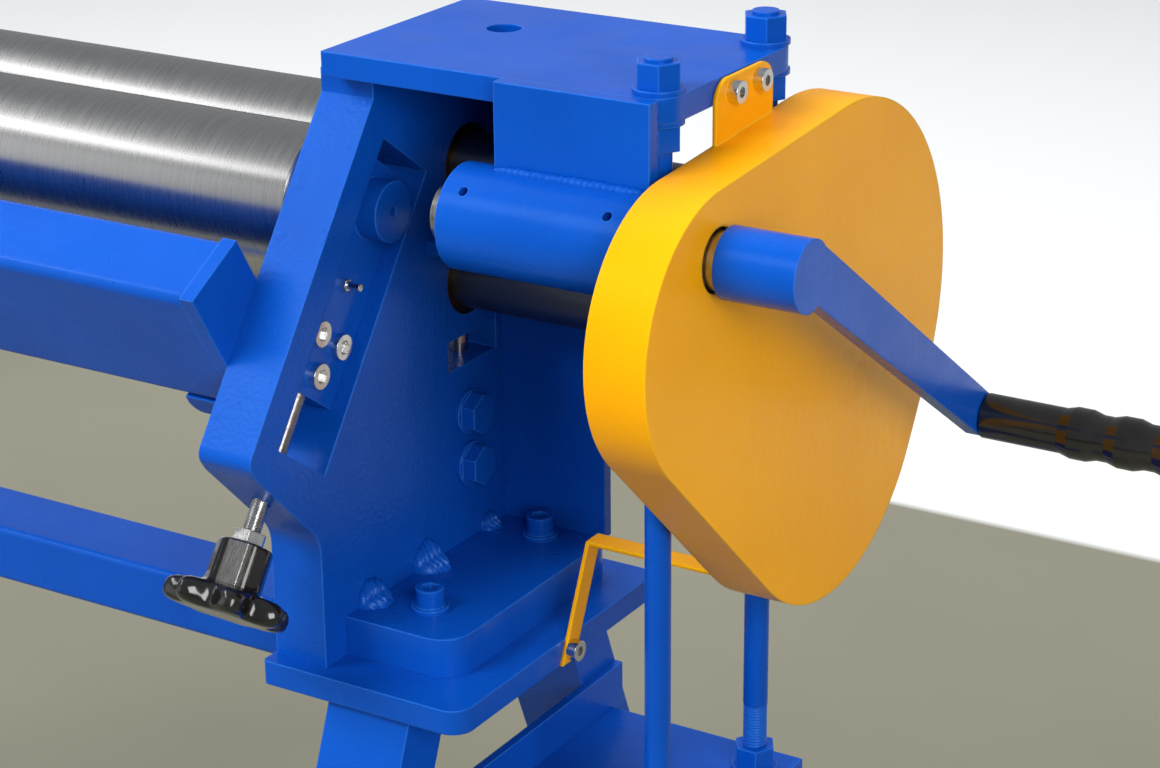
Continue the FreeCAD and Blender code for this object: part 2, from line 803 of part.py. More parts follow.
def upper_bushes():
    frame_bush = flat_bush("upper_frame_bush", INNER, "frame_thick", PINCH_Y, UPPER_Z)
    outer_start = f"{OUTER} + outer_bearing_start"
    outer_bush = flat_bush("upper_outer_bush", outer_start, "outer_bearing_long", PINCH_Y, UPPER_Z)
    ring = flat_bush("saddle_ring", f"0 - {OUTER}", "frame_thick", PINCH_Y, UPPER_Z)
    corner = (f"0 - {OUTER} - overrun", f"{PINCH_Y} - {BUSH_RADIUS} - overrun", UPPER_Z)
    size = ("frame_thick + 2 * overrun", f"2 * {BUSH_RADIUS} + 2 * overrun", f"{BUSH_RADIUS} + overrun")
    saddle_bush = cut("saddle_bush", ring, block("saddle_lid", corner, size))
    keep(group("upper_roll_bushes", [frame_bush, outer_bush, saddle_bush]), "upper_roll_bushes")


def outer_bearing():
    """Block under the outrigger's cap that steadies the upper roll's long journal"""
    x = f"{OUTER} + outer_bearing_start"
    low = f"{UPPER_Z} - outer_bearing_low"
    high = f"stand_height + frame_high - ({low})"
    rear = f"{FRONT} + frame_deep - outer_bearing_rear_gap"  # just clear of the rear plate
    corner = (x, f"{rear} - outer_bearing_wide", low)
    blank = block("outer_bearing_blank", corner, ("outer_bearing_long", "outer_bearing_wide", high))
    bore_long = "outer_bearing_long + 2 * overrun"
    bore = rod("outer_bearing_bore", BUSH_RADIUS, bore_long, (f"{x} - overrun", PINCH_Y, UPPER_Z), "x")
    keep(cut("outer_bearing_block", blank, bore), "outer_bearing_block")


def lift_blocks():
    """Lower roll blocks that ride up and down in the frames' windows, with their bushes"""
    bushes = []
    blocks = []
    for word, side in SIDES.items():
        x, long = outward(side, f"{INNER} + block_inset", f"{OUTER} - block_inset")
        low = f"{LOWER_Z} - lift_block_high / 2"
        corner = (x, f"{PINCH_Y} - window_width / 2 + block_play", low)
        wide = "window_width - 2 * block_play"
        blank = block(word + "_lift_blank", corner, (long, wide, "lift_block_high"))
        bore_at = (f"{x} - overrun", PINCH_Y, LOWER_Z)
        bore = rod(word + "_lift_bore", BUSH_RADIUS, f"{long} + 2 * overrun", bore_at, "x")
        blocks.append(cut(word + "_lift_block", blank, bore))
        bushes.append(flat_bush(word + "_lift_bush", x, long, PINCH_Y, LOWER_Z))
    keep(group("lower_roll_blocks", blocks), "lower_roll_blocks")
    keep(group("lower_roll_bushes", bushes), "lower_roll_bushes")


def lift_screw(word, side):
    """Screw under a lower roll block, turned by a small knob below the stand plate"""
    x = f"{side} * ({INNER} + frame_thick / 2)"
    y = f"{FRONT} + lift_screw_in"
    top = f"{LOWER_Z} - lift_block_high / 2 - running_clearance"
    low = "stand_height - plate_thick - lift_knob_gap - lift_knob_long"
    foot = f"{low} + lift_knob_floor"
    shank = rod(word + "_lift_shank", "lift_screw_radius", f"{top} - ({foot})", (x, y, foot))
    knob = rod(word + "_lift_knob_blank", "lift_knob_radius", "lift_knob_long", (x, y, low))
    flutes = []
    count = int(number("lift_flutes"))
    for step in range(count):
        turn = 2 * math.pi * step / count
        u = f"{x} + {math.cos(turn):.6f} * lift_flute_ring"
        v = f"{y} + {math.sin(turn):.6f} * lift_flute_ring"
        spot = (u, v, f"{low} - overrun")
        long = "lift_knob_long + 2 * overrun"
        flutes.append(rod(f"{word}_lift_flute_{step}", "lift_flute_radius", long, spot))
    grip = cut(word + "_lift_knob_grip", knob, *flutes)
    keep(join(word + "_lift_screw", [shank, grip]), word + "_lift_screw")


# Inclined slide blocks of the bending roll, drawn upright with Z along the slot
def slide_block(word, side):
    thick = "(frame_thick - block_recess - block_inset)"
    x0 = "0" if side > 0 else f"0 - {thick}"
    wide = "slot_width - 2 * block_play"
    corner = (x0, f"{SLOT_ACROSS} - ({wide}) / 2", "block_low")
    blank = block(word + "_slide_blank", corner, (thick, wide, "block_long"))
    x, long = outward(side, thick, f"{thick} + boss_proud")
    boss = rod(word + "_slide_boss", "boss_radius", long, (x, SLOT_ACROSS, "bend_roll_along"), "x")
    whole = join(word + "_slide_whole", [blank, boss])
    x, long = outward(side, "0 - overrun", f"{thick} - block_floor")
    bush_seat = "bend_journal_radius + bush_wall"
    bore = rod(word + "_slide_bore", bush_seat, long, (x, SLOT_ACROSS, "bend_roll_along"), "x")
    x, long = outward(side, f"{thick} + boss_proud - dimple_deep", f"{thick} + boss_proud + overrun")
    dimple = rod(word + "_slide_dimple", "boss_dimple", long, (x, SLOT_ACROSS, "bend_roll_along"), "x")
    middle = f"{side} * (frame_thick / 2 - block_inset)"
    socket = rod(
        word + "_slide_socket",
        "adjust_radius + running_clearance",
        "adjust_in_block + running_clearance + overrun",
        (middle, SLOT_ACROSS, "block_low - overrun"),
    )
    tools = [bore, dimple, socket]
    x, long = outward(side, f"{thick} - thrust_hole_deep", f"{thick} + overrun")
    for turn, (along, across) in enumerate(thrust_spots()):
        tools.append(rod(f"{word}_thrust_hole_{turn}", "thrust_screw_radius", long, (x, across, along), "x"))
    piece = cut(word + "_slide_block", whole, *tools)
    keep(seat_in_slope(piece, f"{side} * ({INNER} + block_inset)"), word + "_slide_block")


def thrust_spots():
    """Where the three socket screws sit on a slide block"""
    return (
        ("thrust_screw_upper", f"{SLOT_ACROSS} - thrust_screw_spread"),
        ("thrust_screw_upper", f"{SLOT_ACROSS} + thrust_screw_spread"),
        ("thrust_screw_lower", SLOT_ACROSS),
    )


def slide_trim(word, side):
    """Bush, socket screws and grease nipple that each slide block carries"""
    thick = "(frame_thick - block_recess - block_inset)"
    start, depth = outward(side, "0", f"{thick} - block_floor")
    journal = "bend_journal_radius"
    ring = ring_profile("0", depth, f"{journal} + running_clearance", f"{journal} + bush_wall")
    bush = turned(word + "_slide_bush_ring", ring, (start, SLOT_ACROSS, "bend_roll_along"))
    screws = []
    top = f"{thick} + thrust_screw_radius"
    for turn, (along, across) in enumerate(thrust_spots()):
        x, long = outward(side, thick, top)
        head = rod(f"{word}_thrust_head_{turn}", "thrust_head_radius", long, (x, across, along), "x")
        x, long = outward(side, f"{thick} - thrust_screw_long", thick)
        shank = rod(f"{word}_thrust_shank_{turn}", "thrust_screw_radius", long, (x, across, along), "x")
        whole = join(f"{word}_thrust_whole_{turn}", [head, shank])
        x, long = outward(side, f"{top} - thrust_key_deep", f"{top} + overrun")
        key = hexagon(f"{word}_thrust_key_{turn}", "thrust_key_radius", long, (x, across, along), "x")
        screws.append(cut(f"{word}_thrust_screw_{turn}", whole, key))
    spot = f"{SLOT_ACROSS} - nipple_across"
    x, long = outward(side, thick, f"{thick} + nipple_long")
    neck = rod(word + "_nipple_neck", "nipple_neck_radius", long, (x, spot, "nipple_along"), "x")
    x, long = outward(side, thick, f"{thick} + nipple_foot")
    foot = hexagon(word + "_nipple_foot", "nipple_radius", long, (x, spot, "nipple_along"), "x")
    screws.append(join(word + "_nipple", [neck, foot]))
    at = f"{side} * ({INNER} + block_inset)"
    seated = seat_in_slope(group(word + "_slide_screws", screws), at)
    return seated, seat_in_slope(group(word + "_slide_bush", [bush]), at)


def adjusting_screw(word, side):
    """Screw that lifts a slide block, with its lock nut and star knob"""
    x = f"{side} * (frame_thick / 2 - block_inset)"
    top = "block_low + adjust_in_block"
    foot = "(knob_low + knob_floor)"
    screw = rod(word + "_adjust_bar", "adjust_radius", f"{top} - {foot}", (x, SLOT_ACROSS, foot))
    at = f"{side} * ({INNER} + block_inset)"
    keep(seat_in_slope(group(word + "_adjusting_screw", [screw]), at), word + "_adjusting_screw")

    knob_long = "(knob_disc + knob_hub_long)"
    hub = rod(word + "_knob_hub", "knob_hub_radius", knob_long, (x, SLOT_ACROSS, "knob_low"))
    disc = rod(word + "_knob_disc", "knob_disc_radius", "knob_disc", (x, SLOT_ACROSS, "knob_low"))
    lobes = []
    for step in range(int(number("knob_lobes"))):
        turn = 2 * math.pi * step / number("knob_lobes")
        spot = (
            f"{x} + {math.cos(turn):.6f} * knob_lobe_circle",
            f"{SLOT_ACROSS} + {math.sin(turn):.6f} * knob_lobe_circle",
            "knob_low",
        )
        lobes.append(rod(f"{word}_knob_lobe_{step}", "knob_lobe_radius", "knob_disc", spot))
    whole = join(word + "_knob_whole", [hub, disc] + lobes)
    bore = rod(word + "_knob_bore", "adjust_radius", knob_long, (x, SLOT_ACROSS, foot))
    keep(seat_in_slope(cut(word + "_star_knob", whole, bore), at), word + "_star_knob")

    nut_low = "knob_low + knob_disc + knob_hub_long + lock_nut_gap"
    nut = hexagon(word + "_lock_nut_blank", "lock_nut_radius", "lock_nut_long", (x, SLOT_ACROSS, nut_low))
    bore_at = (x, SLOT_ACROSS, f"{nut_low} - overrun")
    nut_bore = rod(word + "_lock_nut_bore", "adjust_radius", "lock_nut_long + 2 * overrun", bore_at)
    keep(seat_in_slope(cut(word + "_lock_nut", nut, nut_bore), at), word + "_lock_nut")


# Outrigger: cap plate, apron, crank tube and tie rods
def outrigger_cap():
    body = new_body("cap_plate")
    drawing = plane_sketch(body, "XY_Plane", "cap_outline")
    left = f"{OUTER} - cap_in"
    right = f"{OUTER} + cap_out"
    front = f"{FRONT} + cap_front_in"
    rear = f"{FRONT} + frame_deep + rear_plate_thick"
    polygon(drawing, [(left, front), (right, front), (right, rear), (left, rear)])
    circle(drawing, f"{OUTER} + cap_hole_out", f"{FRONT} + cap_hole_in", "cap_hole_radius")
    for depth in ("rod_front_in", "rod_rear_in"):
        circle(drawing, f"{OUTER} + rod_out", f"{FRONT} + {depth}", "rod_radius + face_clearance")
    pad(body, drawing, "cap_thick", "cap_pad")
    for turn, depth in enumerate((front, rear)):
        picked = lambda edge: runs_along(edge, 2) and near(edge, right, depth, (0, 1))
        round_edges(body, f"cap_round_{turn}", "cap_round", picked)
    base = place(body, ("0", "0", "stand_height + frame_high"))
    taps = []
    for turn, depth in enumerate(("tab_screw_front_in", "tab_screw_rear_in")):
        at = (f"{OUTER} + cap_out - tap_deep", f"{FRONT} + {depth}", "stand_height + tab_screw_up")
        taps.append(rod(f"cap_tap_{turn}", "tab_screw_radius", "tap_deep + overrun", at, "x"))
    keep(cut("outrigger_cap", base, *taps), "outrigger_cap")

    x = f"{OUTER} + apron_start"
    low = f"{CRANK_Z} + tube_radius - apron_seat"
    y = f"{FRONT} + cap_front_in - apron_thick"
    long = "apron_stop - apron_start"
    apron = block("apron_blank", (x, y, low), (long, "apron_thick", f"{CAP_TOP} - ({low})"))
    seat_at = (f"{x} - overrun", CRANK_Y, CRANK_Z)
    saddle = rod("apron_saddle", "tube_radius", f"{long} + 2 * overrun", seat_at, "x")
    keep(cut("outrigger_apron", apron, saddle), "outrigger_apron")

    corner = (f"{INNER}", f"{FRONT} + frame_deep", "stand_height + foot_thick")
    size = ("frame_thick + rear_plate_out", "rear_plate_thick", "frame_high - foot_thick")
    keep(block("outrigger_rear_plate", corner, size), "outrigger_rear_plate")


def crank_tube():
    profile = ring_profile("0", "(tube_stop - tube_start)", "tube_bore", "tube_radius")
    tube = turned("crank_tube_blank", profile, (f"{OUTER} + tube_start", CRANK_Y, CRANK_Z))
    holes = []
    for step in range(2):
        x = f"{OUTER} + tube_start + oil_hole_start + {step} * oil_hole_pitch"
        hole = rod(f"oil_hole_{step}", "oil_hole_radius", "tube_radius", (x, CRANK_Y, CRANK_Z))
        holes.append(place(hole, (x, CRANK_Y, CRANK_Z), (1, 0, 0), "oil_hole_lean"))
    rod_low = f"{CRANK_Z} - tube_radius - overrun"
    rod_at = (f"{OUTER} + rod_out", f"{FRONT} + rod_front_in", rod_low)
    holes.append(rod("tube_rod_hole", "rod_radius + face_clearance", "2 * tube_radius + 2 * overrun", rod_at))
    keep(cut("crank_tube", tube, *holes), "crank_tube")
    bushes = []
    for turn, start in enumerate(("tube_start", "tube_stop - crank_bush_long")):
        ring = ring_profile("0", "crank_bush_long", "crank_shaft_radius + running_clearance", "tube_bore")
        bushes.append(turned(f"crank_bush_{turn}", ring, (f"{OUTER} + {start}", CRANK_Y, CRANK_Z)))
    keep(group("crank_bushes", bushes), "crank_bushes")


def tie_rods():
    shelf_top = "stand_height - shelf_down"
    x = f"{OUTER} + rod_out"
    seats = (
        ("top", CAP_TOP, 1, "rod_radius"),
        ("under", "stand_height + frame_high", -1, "rod_radius"),
        ("shelf", shelf_top, 1, "rod_neck_radius"),
        ("below", f"{shelf_top} - shelf_thick", -1, "rod_neck_radius"),
    )
    rods = []
    nuts = []
    washers = []
    for turn, depth in enumerate(("rod_front_in", "rod_rear_in")):
        y = f"{FRONT} + {depth}"
        low = f"{shelf_top} - shelf_thick - rod_tail"
        start = f"{shelf_top} + rod_neck_long"
        neck = rod(f"rod_neck_{turn}", "rod_neck_radius", f"{start} - ({low})", (x, y, low))
        bar = rod(f"rod_bar_{turn}", "rod_radius", f"{CAP_TOP} + rod_top - ({start})", (x, y, start))
        rods.append(join(f"tie_rod_{turn}", [neck, bar]))
        for word, seat, way, bore in seats:
            washer_low = seat if way > 0 else f"{seat} - washer_thick"
            nut_low = f"{seat} + washer_thick" if way > 0 else f"{seat} - washer_thick - nut_high"
            disc = rod(f"{word}_washer_{turn}", "washer_radius", "washer_thick", (x, y, washer_low))
            eye_at = (x, y, f"{washer_low} - overrun")
            eye = rod(f"{word}_washer_eye_{turn}", bore, "washer_thick + 2 * overrun", eye_at)
            washers.append(cut(f"{word}_washer_cut_{turn}", disc, eye))
            six = hexagon(f"{word}_nut_{turn}", "nut_radius", "nut_high", (x, y, nut_low))
            hole_at = (x, y, f"{nut_low} - overrun")
            hole = rod(f"{word}_nut_eye_{turn}", bore, "nut_high + 2 * overrun", hole_at)
            nuts.append(cut(f"{word}_nut_cut_{turn}", six, hole))
    keep(group("tie_rods", rods), "tie_rods")
    keep(group("tie_rod_nuts", nuts), "tie_rod_nuts")
    keep(group("tie_rod_washers", washers), "tie_rod_washers")


# Gears: involute flanks, thinned a little so that they run free
def gear_outline(teeth, module, phase):
    pitch = teeth * module / 2
    base = pitch * math.cos(math.radians(number("pressure_angle")))
    tip = pitch + module * number("tooth_rise")
    root = pitch - module * number("tooth_fall")
    half = math.pi / (2 * teeth) - number("tooth_thinning") * module / pitch * math.pi
    roll_of = lambda radius: math.sqrt(max((radius / base) ** 2 - 1, 0))
    spread = lambda radius: roll_of(radius) - math.atan(roll_of(radius))
    start = max(base, root)
    steps = int(number("flank_steps"))
    radii = [start + (tip - start) * share / steps for share in range(steps + 1)]
    width = [half + spread(pitch) - spread(radius) for radius in radii]
    step = 2 * math.pi / teeth
    spot = lambda radius, angle: FreeCAD.Vector(0, radius * math.cos(angle), radius * math.sin(angle))
    edges = []
    for tooth in range(teeth):
        middle = phase + tooth * step
        rise = [spot(radius, middle - angle) for radius, angle in zip(radii, width)]
        fall = [spot(radius, middle + angle) for radius, angle in zip(radii, width)][::-1]
        foot_in = spot(root, middle - width[0])
        foot_out = spot(root, middle + width[0])
        if start > root:
            edges.append(Part.LineSegment(foot_in, rise[0]).toShape())
        edges.append(flank(rise))
        edges.append(Part.Arc(rise[-1], spot(tip, middle), fall[0]).toShape())
        edges.append(flank(fall))
        if start > root:
            edges.append(Part.LineSegment(fall[-1], foot_out).toShape())
        valley = spot(root, middle + step / 2)
        edges.append(Part.Arc(foot_out, valley, spot(root, middle + step - width[0])).toShape())
    return Part.Wire(edges)


def flank(points):
    curve = Part.BSplineCurve()
    curve.interpolate(points)
    return curve.toShape()


def gear(name, teeth, module, phase, start, wide, y, z):
    """A spur gear on the X axis, bored for its shaft"""
    face = Part.Face(gear_outline(int(number(teeth)), number(module), phase))
    along = FreeCAD.Vector(1, 0, 0)
    solid = face.extrude(along * number(wide))
    margin = number("overrun")
    bore_long = number(wide) + 2 * margin
    bore = Part.makeCylinder(number("gear_bore_radius"), bore_long, along * -margin, along)
    piece = document.addObject("Part::Feature", name)
    piece.Shape = solid.cut(bore)
    keep(place(piece, (f"{OUTER} + {start}", y, z)), name)


def gear_train():
    """Pinion on the crank, wheel on the lower roll, and the pair that turns the rolls together"""
    rise = number(CRANK_Z) - number(LOWER_Z)
    reach = number(CRANK_Y) - number(PINCH_Y)
    slope = math.atan2(rise, reach)
    # the wheel rests on one flank, so that the other has room as the lower roll goes down
    rest_turn = 2 * number("mesh_shift") / (number("wheel_teeth") * number("gear_module"))
    wheel_phase = slope - rest_turn
    pinion_phase = slope + math.pi + math.pi / number("pinion_teeth")
    wheel = ("wheel_start", "wheel_wide", PINCH_Y, LOWER_Z)
    gear("drive_wheel", "wheel_teeth", "gear_module", wheel_phase, *wheel)
    pinion = ("pinion_start", "wheel_start + wheel_wide - pinion_start", CRANK_Y, CRANK_Z)
    gear("crank_pinion", "pinion_teeth", "gear_module", pinion_phase, *pinion)
    module = f"{ROLL_CENTRES} / roll_gear_teeth"
    up = math.pi / 2
    half_tooth = math.pi / number("roll_gear_teeth")
    for name, phase, z in (("lower_roll_gear", up, LOWER_Z), ("upper_roll_gear", half_tooth - up, UPPER_Z)):
        gear(name, "roll_gear_teeth", module, phase, "roll_gear_start", "roll_gear_wide", PINCH_Y, z)


# Crank
def crank():
    tail = f"{OUTER} + tube_start - crank_shaft_tail"
    collar = f"{OUTER} + tube_start - face_clearance"
    seat = f"{OUTER} + pinion_start"
    shoulder = f"{OUTER} + wheel_start + wheel_wide"
    profile = [
        (tail, "0"),
        (tail, "tail_collar_radius"),
        (collar, "tail_collar_radius"),
        (collar, "crank_shaft_radius"),
        (seat, "crank_shaft_radius"),
        (seat, "gear_bore_radius"),
        (shoulder, "gear_bore_radius"),
        (shoulder, "collar_radius"),
        (f"{OUTER} + collar_stop", "collar_radius"),
        (f"{OUTER} + collar_stop", "hub_bore_radius"),
        (f"{OUTER} + hub_stop - arm_thick", "hub_bore_radius"),
        (f"{OUTER} + hub_stop - arm_thick", "0"),
    ]
    keep(turned("crank_shaft", profile, ("0", CRANK_Y, CRANK_Z)), "crank_shaft")

    arm = new_body("arm_blank")
    drawing = plane_sketch(arm, "YZ_Plane", "arm_outline")
    outline = [
        ("face_clearance", "0 - arm_root_low"),
        ("arm_throw", "0 - arm_end_radius"),
        ("arm_throw", "arm_end_radius"),
        ("face_clearance", "arm_root_high"),
    ]
    polygon(drawing, outline)
    pad(arm, drawing, "arm_thick", "arm_pad")
    start = "(hub_stop - collar_stop - arm_thick)"
    place(arm, (start, "0", "0"))
    hub = rod("hub_blank", "hub_radius", "hub_stop - collar_stop", ("0", "0", "0"), "x")
    eye = rod("arm_eye", "arm_end_radius", "arm_thick", (start, "arm_throw", "0"), "x")
    whole = join("crank_arm_whole", [hub, arm, eye])
    bore = rod("hub_bore", "hub_bore_radius", f"{start} + overrun", ("0 - overrun", "0", "0"), "x")
    hole_at = (f"{start} - overrun", "arm_throw", "0")
    hole = rod("arm_hole", "spindle_radius", "arm_thick + 2 * overrun", hole_at, "x")
    piece = cut("crank_arm", whole, bore, hole)
    keep(place(piece, (f"{OUTER} + collar_stop", CRANK_Y, CRANK_Z), (1, 0, 0), "0 - arm_drop"), "crank_arm")


def crank_grip():
    """Turned grip with finger swells, free on the spindle that is fixed in the arm"""
    tip_y = f"{CRANK_Y} + arm_throw * cos(arm_drop * 1 deg)"
    tip_z = f"{CRANK_Z} - arm_throw * sin(arm_drop * 1 deg)"
    start = f"{OUTER} + hub_stop"
    end = "(grip_gap + grip_long)"
    bore = "spindle_radius + running_clearance"
    sleeve = [(end, bore), ("grip_gap", bore), ("grip_gap", "grip_radius")]
    for step in range(int(number("grip_bumps"))):
        middle = f"(grip_gap + grip_bump_start + {step} * grip_bump_pitch)"
        sleeve.append((f"{middle} - grip_bump_foot", "grip_radius"))
        sleeve.append((f"{middle} - grip_bump_top", "grip_radius + grip_bump"))
        sleeve.append((f"{middle} + grip_bump_top", "grip_radius + grip_bump"))
        sleeve.append((f"{middle} + grip_bump_foot", "grip_radius"))
    sleeve.append((end, "grip_radius - grip_end_round"))
    keep(turned("crank_grip", sleeve, (start, tip_y, tip_z)), "crank_grip")
    stop = "(2 * grip_gap + grip_long)"
    spindle = [
        ("0 - arm_thick", "0"),
        ("0 - arm_thick", "spindle_radius"),
        (stop, "spindle_radius"),
        (stop, "spindle_head_radius"),
        (f"{stop} + spindle_head", "spindle_head_radius"),
        (f"{stop} + spindle_head", "0"),
    ]
    keep(turned("grip_spindle", spindle, (start, tip_y, tip_z)), "grip_spindle")


# Gear guard: a pan whose outline wraps three circles
def guard_sketch(body, name, inset):
    circles = []
    for letter in "abc":
        circles.append((f"guard_{letter}_in", f"guard_{letter}_up", f"guard_{letter}_radius - {inset}"))
    centres = []
    for y, z, radius in circles:
        centres.append(FreeCAD.Vector(number(f"{FRONT} + {y}"), number(f"stand_height + {z}"), 0))
    radii = [number(radius) for y, z, radius in circles]
    drawing = plane_sketch(body, "YZ_Plane", name)
    order = (0, 2, 1)
    normals = []
    for here, after in zip(order, order[1:] + order[:1]):
        way = centres[after] - centres[here]
        slope = math.atan2(way.y, way.x)
        swing = math.acos((radii[here] - radii[after]) / way.Length)
        normals.append(slope - swing)
    for step, here in enumerate(order):
        entry = normals[step - 1]
        leave = normals[step]
        while leave < entry:
            leave += 2 * math.pi
        ring = Part.Circle(centres[here], FreeCAD.Vector(0, 0, 1), radii[here])
        drawing.addGeometry(Part.ArcOfCircle(ring, entry, leave), False)
    for step, here in enumerate(order):
        after = order[(step + 1) % 3]
        way = FreeCAD.Vector(math.cos(normals[step]), math.sin(normals[step]), 0)
        start = centres[here] + way * radii[here]
        end = centres[after] + way * radii[after]
        drawing.addGeometry(Part.LineSegment(start, end), False)
    for step, here in enumerate(order):
        y, z, radius = circles[here]
        pin_point(drawing, step, 3, f"{FRONT} + {y}", f"stand_height + {z}")
        index = drawing.addConstraint(Sketcher.Constraint("Radius", step, radii[here]))
        drawing.setExpression(f"Constraints[{index}]", link(radius))
        drawing.addConstraint(Sketcher.Constraint("Tangent", step, 2, 3 + step, 1))
        drawing.addConstraint(Sketcher.Constraint("Tangent", 3 + step, 2, (step + 1) % 3, 1))
    return drawing


def gear_guard():
    outside = new_body("guard_outside")
    pad(outside, guard_sketch(outside, "guard_outline", "0"), "guard_stop - guard_start", "guard_outside_pad")
    place(outside, (f"{OUTER} + guard_start", "0", "0"))
    inside = new_body("guard_inside")
    deep = "guard_stop - guard_start - guard_sheet + overrun"
    pad(inside, guard_sketch(inside, "guard_inner_outline", "guard_sheet"), deep, "guard_inside_pad")
    place(inside, (f"{OUTER} + guard_start - overrun", "0", "0"))
    at = (f"{OUTER} + guard_stop - guard_sheet - overrun", CRANK_Y, CRANK_Z)
    hole = rod("guard_hole", "guard_hole_radius", "guard_sheet + 2 * overrun", at, "x")
    pan = cut("guard_pan", outside, inside, hole)

    tab = new_body("guard_tab")
    drawing = plane_sketch(tab, "YZ_Plane", "guard_tab_outline")
    front = f"{FRONT} + tab_front_in"
    rear = f"{FRONT} + tab_rear_in"
    low = "stand_height + tab_low_up"
    top = "stand_height + tab_top_up"
    polygon(drawing, [(front, low), (rear, low), (rear, top), (front, top)])
    pad(tab, drawing, "tab_thick", "guard_tab_pad")
    for turn, depth in enumerate((front, rear)):
        picked = lambda edge: runs_along(edge, 0) and near(edge, depth, top, (1, 2))
        round_edges(tab, f"guard_tab_round_{turn}", "tab_round", picked)
    place(tab, (f"{OUTER} + guard_start", "0", "0"))
    whole = join("guard_whole", [pan, tab])

    holes = []
    screws = []
    for turn, depth in enumerate(("tab_screw_front_in", "tab_screw_rear_in")):
        y = f"{FRONT} + {depth}"
        z = "stand_height + tab_screw_up"
        at = (f"{OUTER} + guard_start - overrun", y, z)
        long = "tab_thick + 2 * overrun"
        holes.append(rod(f"tab_hole_{turn}", "tab_screw_radius + face_clearance", long, at, "x"))
        seat = (f"{OUTER} + guard_start + tab_thick", y, z)
        screws.append(socket_screw(f"tab_screw_{turn}", "tab_screw_radius", "tap_deep + tab_thick", seat))
    keep(cut("gear_guard", whole, *holes), "gear_guard")
    screws.append(socket_screw("strap_screw", "tab_screw_radius", "tap_deep + strap_thick", guard_strap()))
    keep(group("guard_screws", screws), "guard_screws")


def socket_screw(name, radius, long, seat):
    """A socket head screw whose head rests on a face that looks along +X"""
    x, y, z = seat
    shank = rod(name + "_shank", radius, long, (f"{x} - ({long})", y, z), "x")
    head = rod(name + "_head", "cap_head_radius", "cap_head_high", (x, y, z), "x")
    whole = join(name + "_whole", [shank, head])
    key_at = (f"{x} + cap_head_high - cap_key_deep", y, z)
    key = hexagon(name + "_key", "cap_key_radius", "cap_key_deep + overrun", key_at, "x")
    return cut(name, whole, key)


def guard_strap():
    """Bent strap from the stand plate's edge to the guard's lower rim"""
    x = f"{OUTER} + plate_outboard"
    y = f"{FRONT} + strap_in"
    low = "stand_height - strap_low"
    high = "stand_height + strap_up"
    riser = new_body("strap_riser")
    drawing = plane_sketch(riser, "YZ_Plane", "strap_riser_outline")
    corners = [
        (y, low),
        (f"{y} + strap_wide", low),
        (f"{y} + strap_wide + strap_lean", high),
        (f"{y} + strap_lean", high),
    ]
    polygon(drawing, corners)
    pad(riser, drawing, "strap_thick", "strap_riser_pad")
    place(riser, (x, "0", "0"))
    corner = (x, f"{y} + strap_lean", f"{high} - strap_thick")
    reach = "guard_stop - guard_sheet - plate_outboard"
    runner = block("strap_runner", corner, (reach, "strap_wide", "strap_thick"))
    whole = join("strap_whole", [riser, runner])
    spot = (f"{x} - overrun", f"{y} + strap_screw_side", "stand_height - strap_screw_down")
    hole = rod("strap_hole", "tab_screw_radius + face_clearance", "strap_thick + 2 * overrun", spot, "x")
    keep(cut("guard_strap", whole, hole), "guard_strap")
    return f"{x} + strap_thick", spot[1], spot[2]


# Stand
def stand_plate(word, side):
    near_x = f"{side} * ({OUTER} - plate_inboard)"
    far_x = f"{side} * ({OUTER} + plate_outboard)"
    front = f"{FRONT} - plate_reach"
    rear = f"{FRONT} + plate_rear_in"
    body = new_body(word + "_plate_body")
    drawing = plane_sketch(body, "XY_Plane", word + "_plate_outline")
    polygon(drawing, [(near_x, front), (far_x, front), (far_x, rear), (near_x, rear)])
    for depth in ("foot_screw_front_in", "foot_screw_rear_in"):
        spot = f"{side} * ({OUTER} + foot_screw_out)"
        circle(drawing, spot, f"{FRONT} + {depth}", "foot_screw_radius")
    lift_x = f"{side} * ({INNER} + frame_thick / 2)"
    circle(drawing, lift_x, f"{FRONT} + lift_screw_in", "lift_screw_radius + lift_screw_play")
    pad(body, drawing, "plate_thick", word + "_plate_pad")
    rounds = (
        (near_x, front, "plate_inner_round"),
        (far_x, front, "plate_round"),
        (far_x, rear, "plate_round"),
        (near_x, rear, "plate_inner_round"),
    )
    for turn, (x, y, radius) in enumerate(rounds):
        picked = lambda edge: runs_along(edge, 2) and near(edge, x, y, (0, 1))
        round_edges(body, f"{word}_plate_round_{turn}", radius, picked)
    base = place(body, ("0", "0", "stand_height - plate_thick"))
    if side < 0:
        keep(base, word + "_stand_plate")
        return
    at = (f"{far_x} - tap_deep", f"{FRONT} + strap_in + strap_screw_side", "stand_height - strap_screw_down")
    tap = rod("strap_tap", "tab_screw_radius", "tap_deep + overrun", at, "x")
    keep(cut(word + "_stand_plate", base, tap), word + "_stand_plate")


